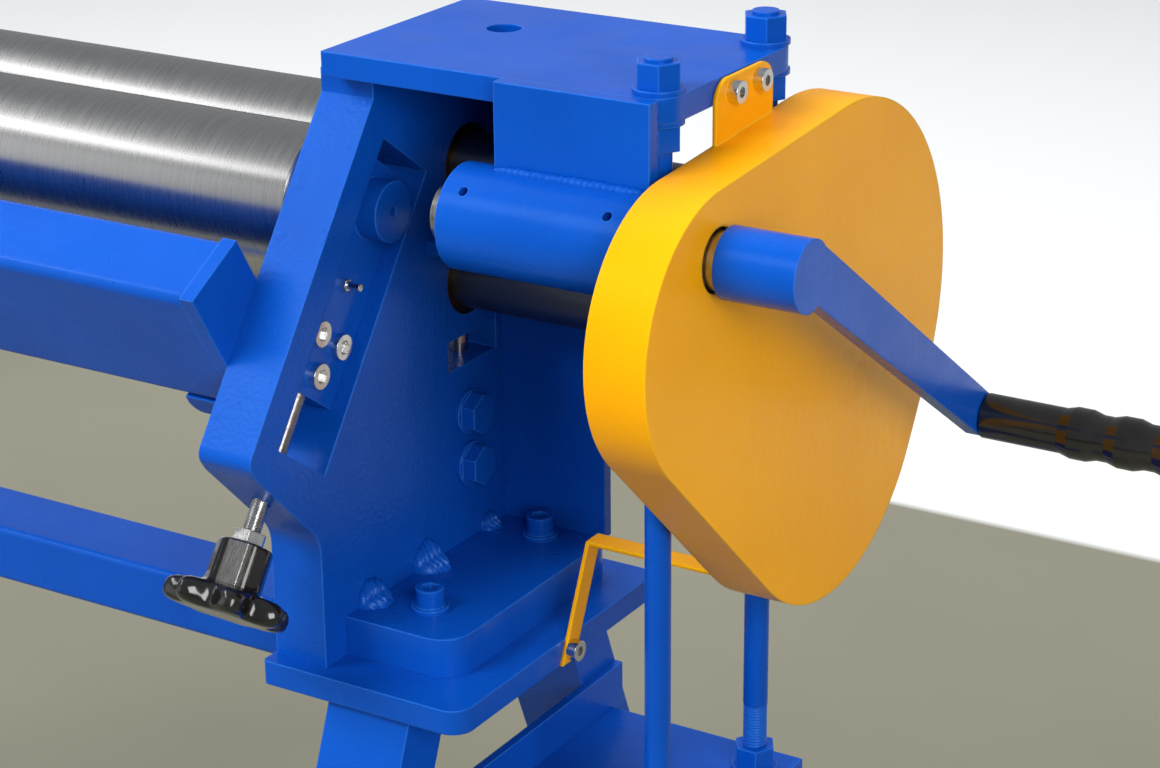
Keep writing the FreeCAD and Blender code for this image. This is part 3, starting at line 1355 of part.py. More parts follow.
def leg(word, side, end):
    """A splayed box-section leg from the stand plate down to its floor pad"""
    facing = -1 if end == "front" else 1
    top_in = "leg_front_in" if end == "front" else "leg_rear_in"
    high = "(stand_height - plate_thick - pad_thick)"
    spread = f"({facing} * {high} * tan(leg_splay * 1 deg))"
    shape = {}
    for part, wall in (("outer", "0"), ("inner", "leg_wall")):
        body = new_body(f"{word}_{end}_leg_{part}")
        drawing = plane_sketch(body, "YZ_Plane", f"{word}_{end}_leg_{part}_outline")
        first = f"{FRONT} + {top_in} - {facing} * {wall}"
        second = f"{FRONT} + {top_in} - {facing} * (leg_deep - {wall})"
        top = f"pad_thick + {high}"
        outline = [
            (f"{first} + {spread}", "pad_thick"),
            (first, top),
            (second, top),
            (f"{second} + {spread}", "pad_thick"),
        ]
        polygon(drawing, outline)
        pad(body, drawing, f"leg_wide - 2 * {wall}", f"{word}_{end}_leg_{part}_pad")
        leg_at = f"{OUTER} + leg_start"
        start, long = outward(side, f"{leg_at} + {wall}", f"{leg_at} + leg_wide - {wall}")
        shape[part] = place(body, (start, "0", "0"))
    keep(cut(f"{word}_{end}_leg", shape["outer"], shape["inner"]), f"{word}_{end}_leg")

    middle_x = f"{side} * ({OUTER} + leg_start + leg_wide / 2)"
    leg_middle = f"{FRONT} + {top_in} - {facing} * leg_deep / 2 + {spread}"
    middle_y = f"({leg_middle} + {facing} * pad_hole_reach)"
    corner = (f"{middle_x} - pad_size / 2", f"{middle_y} - pad_size / 2", "0")
    plate = block(f"{word}_{end}_pad_blank", corner, ("pad_size", "pad_size", "pad_thick"))
    hole_at = (middle_x, f"{middle_y} + {facing} * pad_hole_reach", "0 - overrun")
    hole = rod(f"{word}_{end}_pad_hole", "pad_hole_radius", "pad_thick + 2 * overrun", hole_at)
    return cut(f"{word}_{end}_pad", plate, hole)


def stand():
    pads = []
    bars = []
    for word, side in SIDES.items():
        stand_plate(word, side)
        for end in ("front", "rear"):
            pads.append(leg(word, side, end))
        leg_side = f"{OUTER} + leg_start + leg_wide"
        x, thick = outward(side, leg_side, f"{leg_side} + cross_bar_thick")
        run = "(cross_bar_down - plate_thick) * tan(leg_splay * 1 deg)"
        corner = (x, f"{FRONT} + leg_front_in - {run}", "stand_height - cross_bar_down - cross_bar_high")
        long = f"leg_rear_in - leg_front_in + 2 * {run}"
        bars.append(block(f"{word}_cross_bar", corner, (thick, long, "cross_bar_high")))
    keep(group("floor_pads", pads), "floor_pads")
    keep(group("cross_bars", bars), "cross_bars")

    start = f"0 - {OUTER} + plate_inboard"
    long = f"2 * ({OUTER} - plate_inboard)"
    corner = (start, f"{FRONT} + rail_in", "stand_height - rail_high")
    outer = block("rail_outer", corner, (long, "rail_wide", "rail_high"))
    hollow = (f"{start} - overrun", f"{FRONT} + rail_in + rail_wall", "stand_height - rail_high + rail_wall")
    hollow_size = (f"{long} + 2 * overrun", "rail_wide - 2 * rail_wall", "rail_high - 2 * rail_wall")
    inner = block("rail_inner", hollow, hollow_size)
    document.recompute()
    rounded = document.addObject("Part::Fillet", "rail_rounded")
    rounded.Base = outer
    edges = [index for index, edge in enumerate(outer.Shape.Edges, 1) if runs_along(edge, 0)]
    rounded.Edges = [(index, number("rail_round"), number("rail_round")) for index in edges]
    keep(cut("stand_rail", rounded, inner), "stand_rail")

    x = f"{OUTER} + leg_start + leg_wide + cross_bar_thick"
    corner = (x, f"{FRONT} + shelf_front_in", "stand_height - shelf_down - shelf_thick")
    long = "shelf_stop - leg_start - leg_wide - cross_bar_thick"
    plate = block("shelf_blank", corner, (long, "shelf_rear_in - shelf_front_in", "shelf_thick"))
    holes = []
    for turn, depth in enumerate(("rod_front_in", "rod_rear_in")):
        low = "stand_height - shelf_down - shelf_thick - overrun"
        at = (f"{OUTER} + rod_out", f"{FRONT} + {depth}", low)
        deep = "shelf_thick + 2 * overrun"
        holes.append(rod(f"shelf_hole_{turn}", "rod_neck_radius + face_clearance", deep, at))
    keep(cut("rod_shelf", plate, *holes), "rod_shelf")


# Release at the free end, where the upper roll lifts out of its open saddle
def release_latch():
    """Hooked plate over the upper roll's tail, whose arm grips a stud by a curved slot"""
    outside = f"(0 - {OUTER} - latch_gap - latch_thick)"
    through = (f"{outside} - overrun", "latch_thick + 2 * overrun")
    pivot, stud = latch_spots()
    notch_radius = "(journal_radius + running_clearance)"
    hook_radius = f"({notch_radius} + latch_wall)"
    ear_radius = "(latch_pivot_radius + latch_pivot_wall)"
    swing = "(stud_radius + stud_free)"
    finger = f"(stud_above + {swing} + latch_finger)"

    arm_size = ("latch_thick", f"2 * {ear_radius}", finger)
    arm_blank = block("latch_arm_blank", ("0", f"0 - {ear_radius}", "0"), arm_size)
    seat = rod("latch_stud_seat", swing, through[1], ("0 - overrun", "0", "stud_above"), "x")
    ring_out = rod("latch_swing_out", f"stud_above + {swing}", through[1], ("0 - overrun", "0", "0"), "x")
    wider = "latch_thick + 4 * overrun"
    ring_in = rod("latch_swing_in", f"stud_above - {swing}", wider, ("0 - 2 * overrun", "0", "0"), "x")
    back_corner = ("0 - 2 * overrun", f"0 - 2 * {finger}", f"0 - 2 * {finger}")
    back = block("latch_swing_back", back_corner, (wider, f"2 * {finger}", f"4 * {finger}"))
    swing_slot = cut("latch_swing_slot", ring_out, ring_in, back)
    arm = place(cut("latch_arm", arm_blank, seat, swing_slot), (outside, *pivot), (1, 0, 0), "stud_lean")

    hook = rod("latch_hook", hook_radius, "latch_thick", (outside, PINCH_Y, UPPER_Z), "x")
    ear = rod("latch_ear", ear_radius, "latch_thick", (outside, *pivot), "x")
    bridge_high = f"{UPPER_Z} + {hook_radius} - {pivot[1]}"
    bridge = block("latch_bridge", (outside, *pivot), ("latch_thick", f"{PINCH_Y} - {pivot[0]}", bridge_high))
    whole = join("latch_whole", [hook, ear, bridge, arm])

    under_corner = (through[0], f"{PINCH_Y} - {notch_radius}", f"{UPPER_Z} - {hook_radius} - overrun")
    under_size = (through[1], f"{notch_radius} + {hook_radius} + overrun", f"{hook_radius} + overrun")
    under = block("latch_under", under_corner, under_size)
    notch = rod("latch_notch", notch_radius, through[1], (through[0], PINCH_Y, UPPER_Z), "x")
    pin_radius = "latch_pivot_radius + running_clearance"
    pin_hole = rod("latch_pin_hole", pin_radius, through[1], (through[0], *pivot), "x")

    reach = f"sqrt(({PINCH_Y} - {pivot[0]}) ^ 2 + ({UPPER_Z} - {pivot[1]}) ^ 2)"
    path_out = rod("latch_path_out", f"{reach} + {notch_radius}", through[1], ("0 - overrun", "0", "0"), "x")
    path_in = rod("latch_path_in", f"{reach} - {notch_radius}", wider, ("0 - 2 * overrun", "0", "0"), "x")
    span = f"({reach} + {notch_radius} + overrun)"
    above_corner = ("0 - 2 * overrun", f"0 - {span}", "0")
    above = block("latch_path_above", above_corner, (wider, f"2 * {span}", span))
    beside_corner = ("0 - 2 * overrun", f"0 - {span} - {notch_radius}", f"0 - {span}")
    beside = block("latch_path_beside", beside_corner, (wider, span, span))
    path = cut("latch_path", path_out, path_in, above, beside)
    fall = f"atan(({pivot[1]} - {UPPER_Z}) / ({PINCH_Y} - {pivot[0]})) / 1 deg"
    place(path, (outside, *pivot), (1, 0, 0), f"0 - {fall}")
    keep(cut("release_latch", whole, under, notch, pin_hole, path), "release_latch")


def latch_spots():
    """Where the latch's pin and its stud stand on the left frame"""
    pivot = (f"({FRONT} + latch_pivot_in)", "(stand_height + latch_pivot_up)")
    stud_y = f"({pivot[0]} - stud_above * sin(stud_lean * 1 deg))"
    stud_z = f"({pivot[1]} + stud_above * cos(stud_lean * 1 deg))"
    return pivot, (stud_y, stud_z)


def latch_studs():
    """Headed pin that the latch turns on, and the plain stud that carries the knob"""
    pivot, stud = latch_spots()
    out = "latch_gap + latch_thick + face_clearance"
    pin_profile = [
        (f"0 - ({out} + pin_head)", "0"),
        (f"0 - ({out} + pin_head)", "latch_pivot_radius + pin_head"),
        (f"0 - ({out})", "latch_pivot_radius + pin_head"),
        (f"0 - ({out})", "latch_pivot_radius"),
    ]
    stud_profile = [
        (f"0 - ({out} + release_knob_long)", "0"),
        (f"0 - ({out} + release_knob_long)", "stud_radius"),
    ]
    studs = []
    for name, profile, radius, spot in (
        ("latch_pin", pin_profile, "latch_pivot_radius", pivot),
        ("latch_stud", stud_profile, "stud_radius", stud),
    ):
        spacer = [
            ("face_clearance - latch_gap", radius),
            ("face_clearance - latch_gap", "spacer_radius"),
            ("0", "spacer_radius"),
            ("0", "0"),
        ]
        studs.append(turned(name, profile + spacer, (f"0 - {OUTER}", *spot)))
    keep(group("latch_studs", studs), "latch_studs")


def release_knob():
    """Fluted knob on the stud that holds the latch down"""
    stud = latch_spots()[1]
    start = f"0 - {OUTER} - latch_gap - latch_thick - face_clearance - release_knob_long"
    blank = rod("release_knob_blank", "release_knob_radius", "release_knob_long", (start, *stud), "x")
    bore_long = "release_knob_long + 2 * overrun"
    bore_at = (f"{start} - overrun", *stud)
    tools = [rod("release_knob_bore", "stud_radius + running_clearance", bore_long, bore_at, "x")]
    flutes = int(number("release_knob_flutes"))
    ring = "(release_knob_radius + release_flute_radius / 2)"
    for step in range(flutes):
        turn = 2 * math.pi * step / flutes
        y = f"{stud[0]} + {math.cos(turn):.6f} * {ring}"
        z = f"{stud[1]} + {math.sin(turn):.6f} * {ring}"
        tools.append(rod(f"release_flute_{step}", "release_flute_radius", bore_long, (bore_at[0], y, z), "x"))
    keep(cut("release_knob", blank, *tools), "release_knob")


def build():
    foot_bolts = []
    slide_bolts = []
    slide_bushes = []
    for word, side in SIDES.items():
        end_frame(word, side)
        foot_plate(word, side)
        foot_bolts += foot_screws(word, side)
        slide_block(word, side)
        bolts, bush = slide_trim(word, side)
        slide_bolts.append(bolts)
        slide_bushes.append(bush)
        adjusting_screw(word, side)
        lift_screw(word, side)
    keep(group("foot_plate_screws", foot_bolts), "foot_plate_screws")
    keep(group("slide_block_screws", slide_bolts), "slide_block_screws")
    keep(group("slide_block_bushes", slide_bushes), "slide_block_bushes")
    cross_members()
    oil_plug()
    pinch_roll("upper_roll", UPPER_Z, f"{OUTER} + wheel_start - 2", f"({OUTER} + tail_out)")
    pinch_roll("lower_roll", LOWER_Z, f"{OUTER} + wheel_start + wheel_wide", f"({OUTER} - block_inset)")
    bending_roll()
    upper_bushes()
    outer_bearing()
    lift_blocks()
    outrigger_cap()
    crank_tube()
    tie_rods()
    gear_train()
    crank()
    crank_grip()
    gear_guard()
    stand()
    release_latch()
    latch_studs()
    release_knob()


def write_files():
    """Check every object and sub-part, then write one file for each sub-part"""
    document.recompute()
    for item in document.Objects:
        if "Invalid" in item.State or "Error" in item.State:
            raise RuntimeError(f"{item.Name} failed: {item.State}")
    os.makedirs("parts", exist_ok=True)
    for name, piece in pieces.items():
        if piece.Shape.isNull() or not piece.Shape.isValid():
            raise RuntimeError(f"{name} has no sound shape")
        piece.Shape.exportStep(f"parts/{name}.step")
    print(len(pieces), "sub-parts written")


build()
write_files()
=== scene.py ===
import math
import bpy
from mathutils import Matrix, Vector, noise


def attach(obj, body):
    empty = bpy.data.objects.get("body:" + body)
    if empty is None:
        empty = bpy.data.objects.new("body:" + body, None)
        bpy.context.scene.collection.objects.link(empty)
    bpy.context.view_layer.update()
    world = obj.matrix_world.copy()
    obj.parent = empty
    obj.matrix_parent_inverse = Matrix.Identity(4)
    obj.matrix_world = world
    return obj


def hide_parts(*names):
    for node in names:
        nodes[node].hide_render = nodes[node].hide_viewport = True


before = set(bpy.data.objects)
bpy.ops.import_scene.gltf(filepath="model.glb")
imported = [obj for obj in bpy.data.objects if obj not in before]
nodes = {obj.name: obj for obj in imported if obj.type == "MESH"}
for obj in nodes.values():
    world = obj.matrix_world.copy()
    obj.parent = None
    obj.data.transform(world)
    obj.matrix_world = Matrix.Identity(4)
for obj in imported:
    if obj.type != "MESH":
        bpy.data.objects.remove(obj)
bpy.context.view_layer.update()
print("slip roll frame loaded")

# camera, solved from the photograph's own straight edges
cameraView = {
    "spot": (1.50877, -1.33909, 1.41572),
    "azimuth": 31.48,
    "elevation": 20.91,
    "roll": -0.54,
    "lens": 86.4,
}


def placeCamera(look):
    a, e, r = (math.radians(look[word]) for word in ("azimuth", "elevation", "roll"))
    right = Vector((math.cos(a), math.sin(a), 0))
    back = Vector((math.sin(a) * math.cos(e), -math.cos(a) * math.cos(e), math.sin(e)))
    up = back.cross(right)
    rolledRight = right * math.cos(r) + up * math.sin(r)
    rolledUp = up * math.cos(r) - right * math.sin(r)
    data = bpy.data.cameras.new("photoCamera")
    data.lens = look["lens"]
    data.sensor_width = 36
    data.clip_start = 0.05
    data.clip_end = 60
    camera = bpy.data.objects.new("photoCamera", data)
    bpy.context.scene.collection.objects.link(camera)
    turn = Matrix((rolledRight, rolledUp, back)).transposed().to_4x4()
    camera.matrix_world = Matrix.Translation(look["spot"]) @ turn
    bpy.context.scene.camera = camera


placeCamera(cameraView)
bpy.context.scene.view_settings.view_transform = "Standard"  # keeps the enamel's full blue
print("camera placed")


# finishes: small node kit shared by every material
def newFinish(name):
    material = bpy.data.materials.new(name)
    material.use_nodes = True
    tree = material.node_tree
    shader = tree.nodes["Principled BSDF"]
    place = tree.nodes.new("ShaderNodeTexCoord")
    return material, tree, shader, place.outputs["Object"]


def grain(tree, place, scale, detail=3.0, stretch=None):
    if stretch:  # pulls the pattern out along one direction, as a grinding wheel does
        mapping = tree.nodes.new("ShaderNodeMapping")
        mapping.inputs["Scale"].default_value = stretch
        tree.links.new(place, mapping.inputs["Vector"])
        place = mapping.outputs["Vector"]
    node = tree.nodes.new("ShaderNodeTexNoise")
    node.inputs["Scale"].default_value = scale
    node.inputs["Detail"].default_value = detail
    tree.links.new(place, node.inputs["Vector"])
    return node.outputs["Fac"]


def remap(tree, value, low, high, lowOut, highOut):
    node = tree.nodes.new("ShaderNodeMapRange")
    ends = {"From Min": low, "From Max": high, "To Min": lowOut, "To Max": highOut}
    for word, number in ends.items():
        node.inputs[word].default_value = number
    tree.links.new(value, node.inputs["Value"])
    return node.outputs["Result"]


def mixColours(tree, factor, first, second):
    node = tree.nodes.new("ShaderNodeMix")
    node.data_type = "RGBA"
    tree.links.new(factor, node.inputs[0])
    for socket, colour in ((node.inputs[6], first), (node.inputs[7], second)):
        if isinstance(colour, tuple):
            socket.default_value = (*colour, 1)
        else:
            tree.links.new(colour, socket)
    return node.outputs[2]


def dents(tree, height, strength, distance, under=None):
    node = tree.nodes.new("ShaderNodeBump")
    node.inputs["Strength"].default_value = strength
    node.inputs["Distance"].default_value = distance
    tree.links.new(height, node.inputs["Height"])
    if under:
        tree.links.new(under, node.inputs["Normal"])
    return node.outputs["Normal"]


def softEdges(tree, radius):
    node = tree.nodes.new("ShaderNodeBevel")
    node.samples = 4
    node.inputs["Radius"].default_value = radius
    return node.outputs["Normal"]


# painted highlight: mask of the rounded edges, where a brighter colour is painted in place of the glint of
# light along them
def paintedEdgeHighlight(tree, rounded):
    facing = tree.nodes.new("ShaderNodeNewGeometry").outputs["Normal"]
    product = tree.nodes.new("ShaderNodeVectorMath")
    product.operation = "DOT_PRODUCT"
    tree.links.new(rounded, product.inputs[0])
    tree.links.new(facing, product.inputs[1])
    return remap(tree, product.outputs["Value"], 0.98, 0.8, 0, 1)


enamelLook = {
    "deep": (0.0015, 0.064, 0.40),
    "pale": (0.0022, 0.080, 0.48),
    # painted highlight colour for the rounded edges of the blue paint
    "edge": (0.030, 0.20, 0.80),
    "sheenColour": (0.30, 0.60, 1.0),
    "edgeRadius": 0.0016,
    "gloss": (0.22, 0.34),
    "sheen": 0.32,
    "coat": 0.05,
    "coatRough": 0.10,
    "cloudScale": 9,
    "cloudBand": (0.35, 0.7),
    "smearScale": 30,
    "smearBand": (0.3, 0.7),
    "peelScale": 230,
    "peelDepth": 0.0006,
    "castScale": 340,
    "castDepth": 0.0012,
}


def blueEnamel(name, peel, castGrain=0.0, paintsEdgeHighlight=True):
    look = enamelLook
    material, tree, shader, place = newFinish(name)
    cloud = remap(tree, grain(tree, place, look["cloudScale"], 4), *look["cloudBand"], 0, 1)
    colour = mixColours(tree, cloud, look["deep"], look["pale"])
    rounded = softEdges(tree, look["edgeRadius"])
    # painted highlight: brighter blue painted along the rounded edges
    if paintsEdgeHighlight:
        colour = mixColours(tree, paintedEdgeHighlight(tree, rounded), colour, look["edge"])
    tree.links.new(colour, shader.inputs["Base Color"])
    smear = grain(tree, place, look["smearScale"], 3)
    tree.links.new(remap(tree, smear, *look["smearBand"], *look["gloss"]), shader.inputs["Roughness"])
    surface = dents(tree, grain(tree, place, look["peelScale"], 2), peel, look["peelDepth"], rounded)
    if castGrain:  # the fine pits of a sand casting under its paint
        surface = dents(tree, grain(tree, place, look["castScale"], 4), castGrain, look["castDepth"], surface)
    tree.links.new(surface, shader.inputs["Normal"])
    shader.inputs["Specular IOR Level"].default_value = look["sheen"]
    shader.inputs["Specular Tint"].default_value = (*look["sheenColour"], 1)
    shader.inputs["Coat Weight"].default_value = look["coat"]
    shader.inputs["Coat Roughness"].default_value = look["coatRough"]
    return material


powderLook = {
    "deep": (0.86, 0.35, 0.002),
    "pale": (0.93, 0.40, 0.003),
    # painted highlight colour for the lit rims and rounded edges of the yellow cover
    "edge": (1.0, 0.60, 0.02),
    "edgeRadius": 0.0022,
    "sheenColour": (1.0, 0.62, 0.02),
    "sheen": 0.35,
    "coat": 0.01,
    "coatRough": 0.2,
    "cloudScale": 7,
    "cloudBand": (0.35, 0.7),
    "bumpScale": 160,
    "bumpBand": (0.3, 0.7),
    "bumpStrength": 0.30,
    "bumpDepth": 0.0005,
    "gloss": (0.30, 0.42),
}


def yellowPowder():
    look = powderLook
    material, tree, shader, place = newFinish("yellowPowder")
    cloud = remap(tree, grain(tree, place, look["cloudScale"], 3), *look["cloudBand"], 0, 1)
    rounded = softEdges(tree, look["edgeRadius"])
    colour = mixColours(tree, cloud, look["deep"], look["pale"])
    # painted highlight: brighter yellow painted along the rounded edges and rims
    colour = mixColours(tree, paintedEdgeHighlight(tree, rounded), colour, look["edge"])
    tree.links.new(colour, shader.inputs["Base Color"])
    bumps = grain(tree, place, look["bumpScale"], 1)
    tree.links.new(remap(tree, bumps, *look["bumpBand"], *look["gloss"]), shader.inputs["Roughness"])
    surface = dents(tree, bumps, look["bumpStrength"], look["bumpDepth"], rounded)
    tree.links.new(surface, shader.inputs["Normal"])
    shader.inputs["Specular IOR Level"].default_value = look["sheen"]
    shader.inputs["Specular Tint"].default_value = (*look["sheenColour"], 1)
    shader.inputs["Coat Weight"].default_value = look["coat"]
    shader.inputs["Coat Roughness"].default_value = look["coatRough"]
    return material


steelLook = {
    "lineScale": 60,
    "lineBand": (0.3, 0.7),
    "lineStrength": 0.06,
    "lineDepth": 0.0002,
    "edgeRadius": 0.0006,
    "cloudScale": 6,
    "cloudBand": (0.45, 0.8),
    "cloudShare": 0.35,
}


def groundSteel(name, dark, light, gloss, stretch):
    look = steelLook
    material, tree, shader, place = newFinish(name)
    lines = grain(tree, place, look["lineScale"], 5, stretch)
    cloud = grain(tree, place, look["cloudScale"], 3)
    colour = mixColours(tree, remap(tree, lines, *look["lineBand"], 0, 1), dark, light)
    colour = mixColours(tree, remap(tree, cloud, *look["cloudBand"], 0, look["cloudShare"]), colour, dark)
    tree.links.new(colour, shader.inputs["Base Color"])
    tree.links.new(remap(tree, lines, *look["lineBand"], *gloss), shader.inputs["Roughness"])
    rounded = softEdges(tree, look["edgeRadius"])
    surface = dents(tree, lines, look["lineStrength"], look["lineDepth"], rounded)
    tree.links.new(surface, shader.inputs["Normal"])
    shader.inputs["Metallic"].default_value = 1.0
    return material


rollLook = {
    "dark": (0.40, 0.398, 0.40),
    "light": (0.54, 0.536, 0.53),
    "journal": (0.15, 0.148, 0.145),
    "gloss": (0.25, 0.31),
    "journalEdge": (0.5262, 0.5270),
    "journalDull": 0.10,
    "lineScale": 40,
    "lineStretch": (30, 0.8, 0.8),
    "lineBand": (0.25, 0.75),
    "lineStrength": 0.02,
    "lineDepth": 0.0002,
    "edgeRadius": 0.001,
}


def rollSteel():
    look = rollLook
    material, tree, shader, place = newFinish("groundRoll")
    streaks = grain(tree, place, look["lineScale"], 5, look["lineStretch"])
    lines = remap(tree, streaks, *look["lineBand"], 0, 1)
    colour = mixColours(tree, lines, look["dark"], look["light"])
    axes = tree.nodes.new("ShaderNodeSeparateXYZ")
    tree.links.new(place, axes.inputs[0])
    reach = tree.nodes.new("ShaderNodeMath")
    reach.operation = "ABSOLUTE"
    tree.links.new(axes.outputs["X"], reach.inputs[0])
    # the turned ends beyond the ground barrel
    journal = remap(tree, reach.outputs[0], *look["journalEdge"], 0, 1)
    tree.links.new(mixColours(tree, journal, colour, look["journal"]), shader.inputs["Base Color"])
    dull = tree.nodes.new("ShaderNodeMath")
    tree.links.new(remap(tree, lines, 0, 1, *look["gloss"]), dull.inputs[0])
    tree.links.new(remap(tree, journal, 0, 1, 0, look["journalDull"]), dull.inputs[1])
    tree.links.new(dull.outputs[0], shader.inputs["Roughness"])
    rounded = softEdges(tree, look["edgeRadius"])
    surface = dents(tree, lines, look["lineStrength"], look["lineDepth"], rounded)
    tree.links.new(surface, shader.inputs["Normal"])
    shader.inputs["Metallic"].default_value = 1.0
    return material


blackLook = {
    "deep": (0.004, 0.004, 0.004),
    "pale": (0.011, 0.010, 0.010),
    "cloudScale": 40,
    "cloudBand": (0.35, 0.7),
    "gloss": (0.07, 0.2),
    "smearScale": 90,
    "smearBand": (0.3, 0.75),
    "mouldScale": 160,
    "mouldStrength": 0.08,
    "mouldDepth": 0.0005,
    "edgeRadius": 0.0015,
    "coat": 0.4,
    "coatRough": 0.05,
}


def glossBlack():
    look = blackLook
    material, tree, shader, place = newFinish("glossBlack")
    cloud = remap(tree, grain(tree, place, look["cloudScale"], 4), *look["cloudBand"], 0, 1)
    colour = mixColours(tree, cloud, look["deep"], look["pale"])
    tree.links.new(colour, shader.inputs["Base Color"])
    smear = grain(tree, place, look["smearScale"], 4)
    tree.links.new(remap(tree, smear, *look["smearBand"], *look["gloss"]), shader.inputs["Roughness"])
    mould = grain(tree, place, look["mouldScale"], 2)
    rounded = softEdges(tree, look["edgeRadius"])
    surface = dents(tree, mould, look["mouldStrength"], look["mouldDepth"], rounded)
    tree.links.new(surface, shader.inputs["Normal"])
    shader.inputs["Coat Weight"].default_value = look["coat"]
    shader.inputs["Coat Roughness"].default_value = look["coatRough"]
    return material


brightLook = {"dark": (0.60, 0.60, 0.59), "light": (0.82, 0.82, 0.80), "gloss": (0.12, 0.26)}
turnedLook = {"dark": (0.30, 0.29, 0.28), "light": (0.55, 0.54, 0.52), "gloss": (0.22, 0.36)}
gearLook = {"dark": (0.10, 0.09, 0.08), "light": (0.24, 0.22, 0.20), "gloss": (0.28, 0.45)}
bronzeLook = {"dark": (0.05, 0.032, 0.016), "light": (0.13, 0.080, 0.036), "gloss": (0.30, 0.45)}
finishes = {
    "enamel": blueEnamel("blueEnamel", 0.10),
    "casting": blueEnamel("blueCasting", 0.14, 0.34),
    "powder": yellowPowder(),
    # the weld beads get no painted edge highlight
    "seam": blueEnamel("blueSeam", 0.16, 0.20, False),
    "roll": rollSteel(),
    "turnedSteel": groundSteel("turnedSteel", **turnedLook, stretch=(40, 2, 2)),
    "gearSteel": groundSteel("gearSteel", **gearLook, stretch=(2, 2, 2)),
    "zinc": groundSteel("zincPlate", **brightLook, stretch=(3, 3, 3)),
    "black": glossBlack(),
    "bronze": groundSteel("bushBronze", **bronzeLook, stretch=(30, 2, 2)),
}
print("finishes made")

wornBy = {
    "casting": ("right_end_frame", "left_end_frame"),
    "powder": ("gear_guard", "guard_strap"),
    "roll": ("upper_roll", "lower_roll", "bending_roll"),
    "turnedSteel": ("crank_shaft", "right_lift_screw", "left_lift_screw"),
    "gearSteel": ("crank_pinion", "drive_wheel", "lower_roll_gear", "upper_roll_gear"),
    "zinc": (
        "guard_screws", "slide_block_screws", "right_adjusting_screw", "left_adjusting_screw",
        "right_lock_nut", "left_lock_nut", "latch_studs", "grip_spindle",
    ),
    "black": ("right_star_knob", "left_star_knob", "crank_grip", "release_knob"),
    "bronze": ("upper_roll_bushes", "lower_roll_bushes", "slide_block_bushes", "crank_bushes"),
}
finishOf = {node: finish for finish, group in wornBy.items() for node in group}
for name, piece in nodes.items():
    finish = finishes[finishOf.get(name, "enamel")]
    if not piece.material_slots:
        piece.data.materials.append(finish)
    for slot in piece.material_slots:
        slot.material = finish
print("CAD nodes dressed")

# rolled-over edges of castings, plates and pressed covers, metres
cornerRadius = {
    "right_end_frame": 0.0018, "left_end_frame": 0.0018, "gear_guard": 0.0024,
    "outrigger_cap": 0.0010, "outrigger_apron": 0.0008, "outrigger_rear_plate": 0.0008,
    "right_foot_plate": 0.0014, "left_foot_plate": 0.0014, "rod_shelf": 0.0008,
    "right_stand_plate": 0.0012, "left_stand_plate": 0.0012, "cross_bars": 0.0010,
    "outer_bearing_block": 0.0010, "crank_arm": 0.0012, "beam_brackets": 0.0010, "release_latch": 0.0010,
    "guard_strap": 0.0003,
}
flatAngle = 0.4  # degrees between two facets that count as one flat
rolledAngle = 38  # degrees from which an edge is rolled over


def rollEdges(piece, radius):
    flat = piece.modifiers.new("joinedFlats", "DECIMATE")
    flat.decimate_type = "DISSOLVE"
    flat.angle_limit = math.radians(flatAngle)
    corner = piece.modifiers.new("rolledEdges", "BEVEL")
    corner.width = radius
    corner.segments = 3
    corner.limit_method = "ANGLE"
    corner.angle_limit = math.radians(rolledAngle)
    corner.use_clamp_overlap = False
    corner.harden_normals = True


for name, radius in cornerRadius.items():
    rollEdges(nodes[name], radius)
print("corners rolled")


# mesh tools
def addPiece(name, verts, faces, finish, body, sharp):
    mesh = bpy.data.meshes.new(name)
    mesh.from_pydata(verts, [], faces)
    mesh.validate()
    mesh.shade_smooth()
    mesh.set_sharp_from_angle(angle=math.radians(sharp))
    mesh.materials.append(finishes[finish])
    piece = bpy.data.objects.new(name, mesh)
    bpy.context.scene.collection.objects.link(piece)
    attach(piece, body)
    return piece


def axisBasis(axis):
    axis = Vector(axis).normalized()
    side = Vector((1, 0, 0)) if abs(axis.x) < 0.9 else Vector((0, 1, 0))
    across = (side - axis * side.dot(axis)).normalized()
    return axis, across, axis.cross(across)


def spunShell(profile, start, axis, steps, radiusAt=None):
    axis, across, third = axisBasis(axis)
    start = Vector(start)
    verts, faces = [], []
    for ring, (along, radius) in enumerate(profile):
        for step in range(steps):
            angle = 2 * math.pi * step / steps
            reach = radiusAt(angle, along, radius) if radiusAt else radius
            spoke = across * math.cos(angle) + third * math.sin(angle)
            verts.append(start + axis * along + spoke * reach)
        if ring:
            low = (ring - 1) * steps
            for step in range(steps):
                after = (step + 1) % steps
                faces.append((low + step, low + after, low + steps + after, low + steps + step))
    faces.append(tuple(reversed(range(steps))))
    faces.append(tuple(range(len(verts) - steps, len(verts))))
    return verts, faces


# weld seams: a rippled bead laid along a line
weldLook = {
    "step": 0.0010, "around": 10, "ripple": 0.0042, "swell": 0.10, "rough": 0.22, "roughScale": 170,
    "wobbleScale": 60, "endShare": 0.25,
}


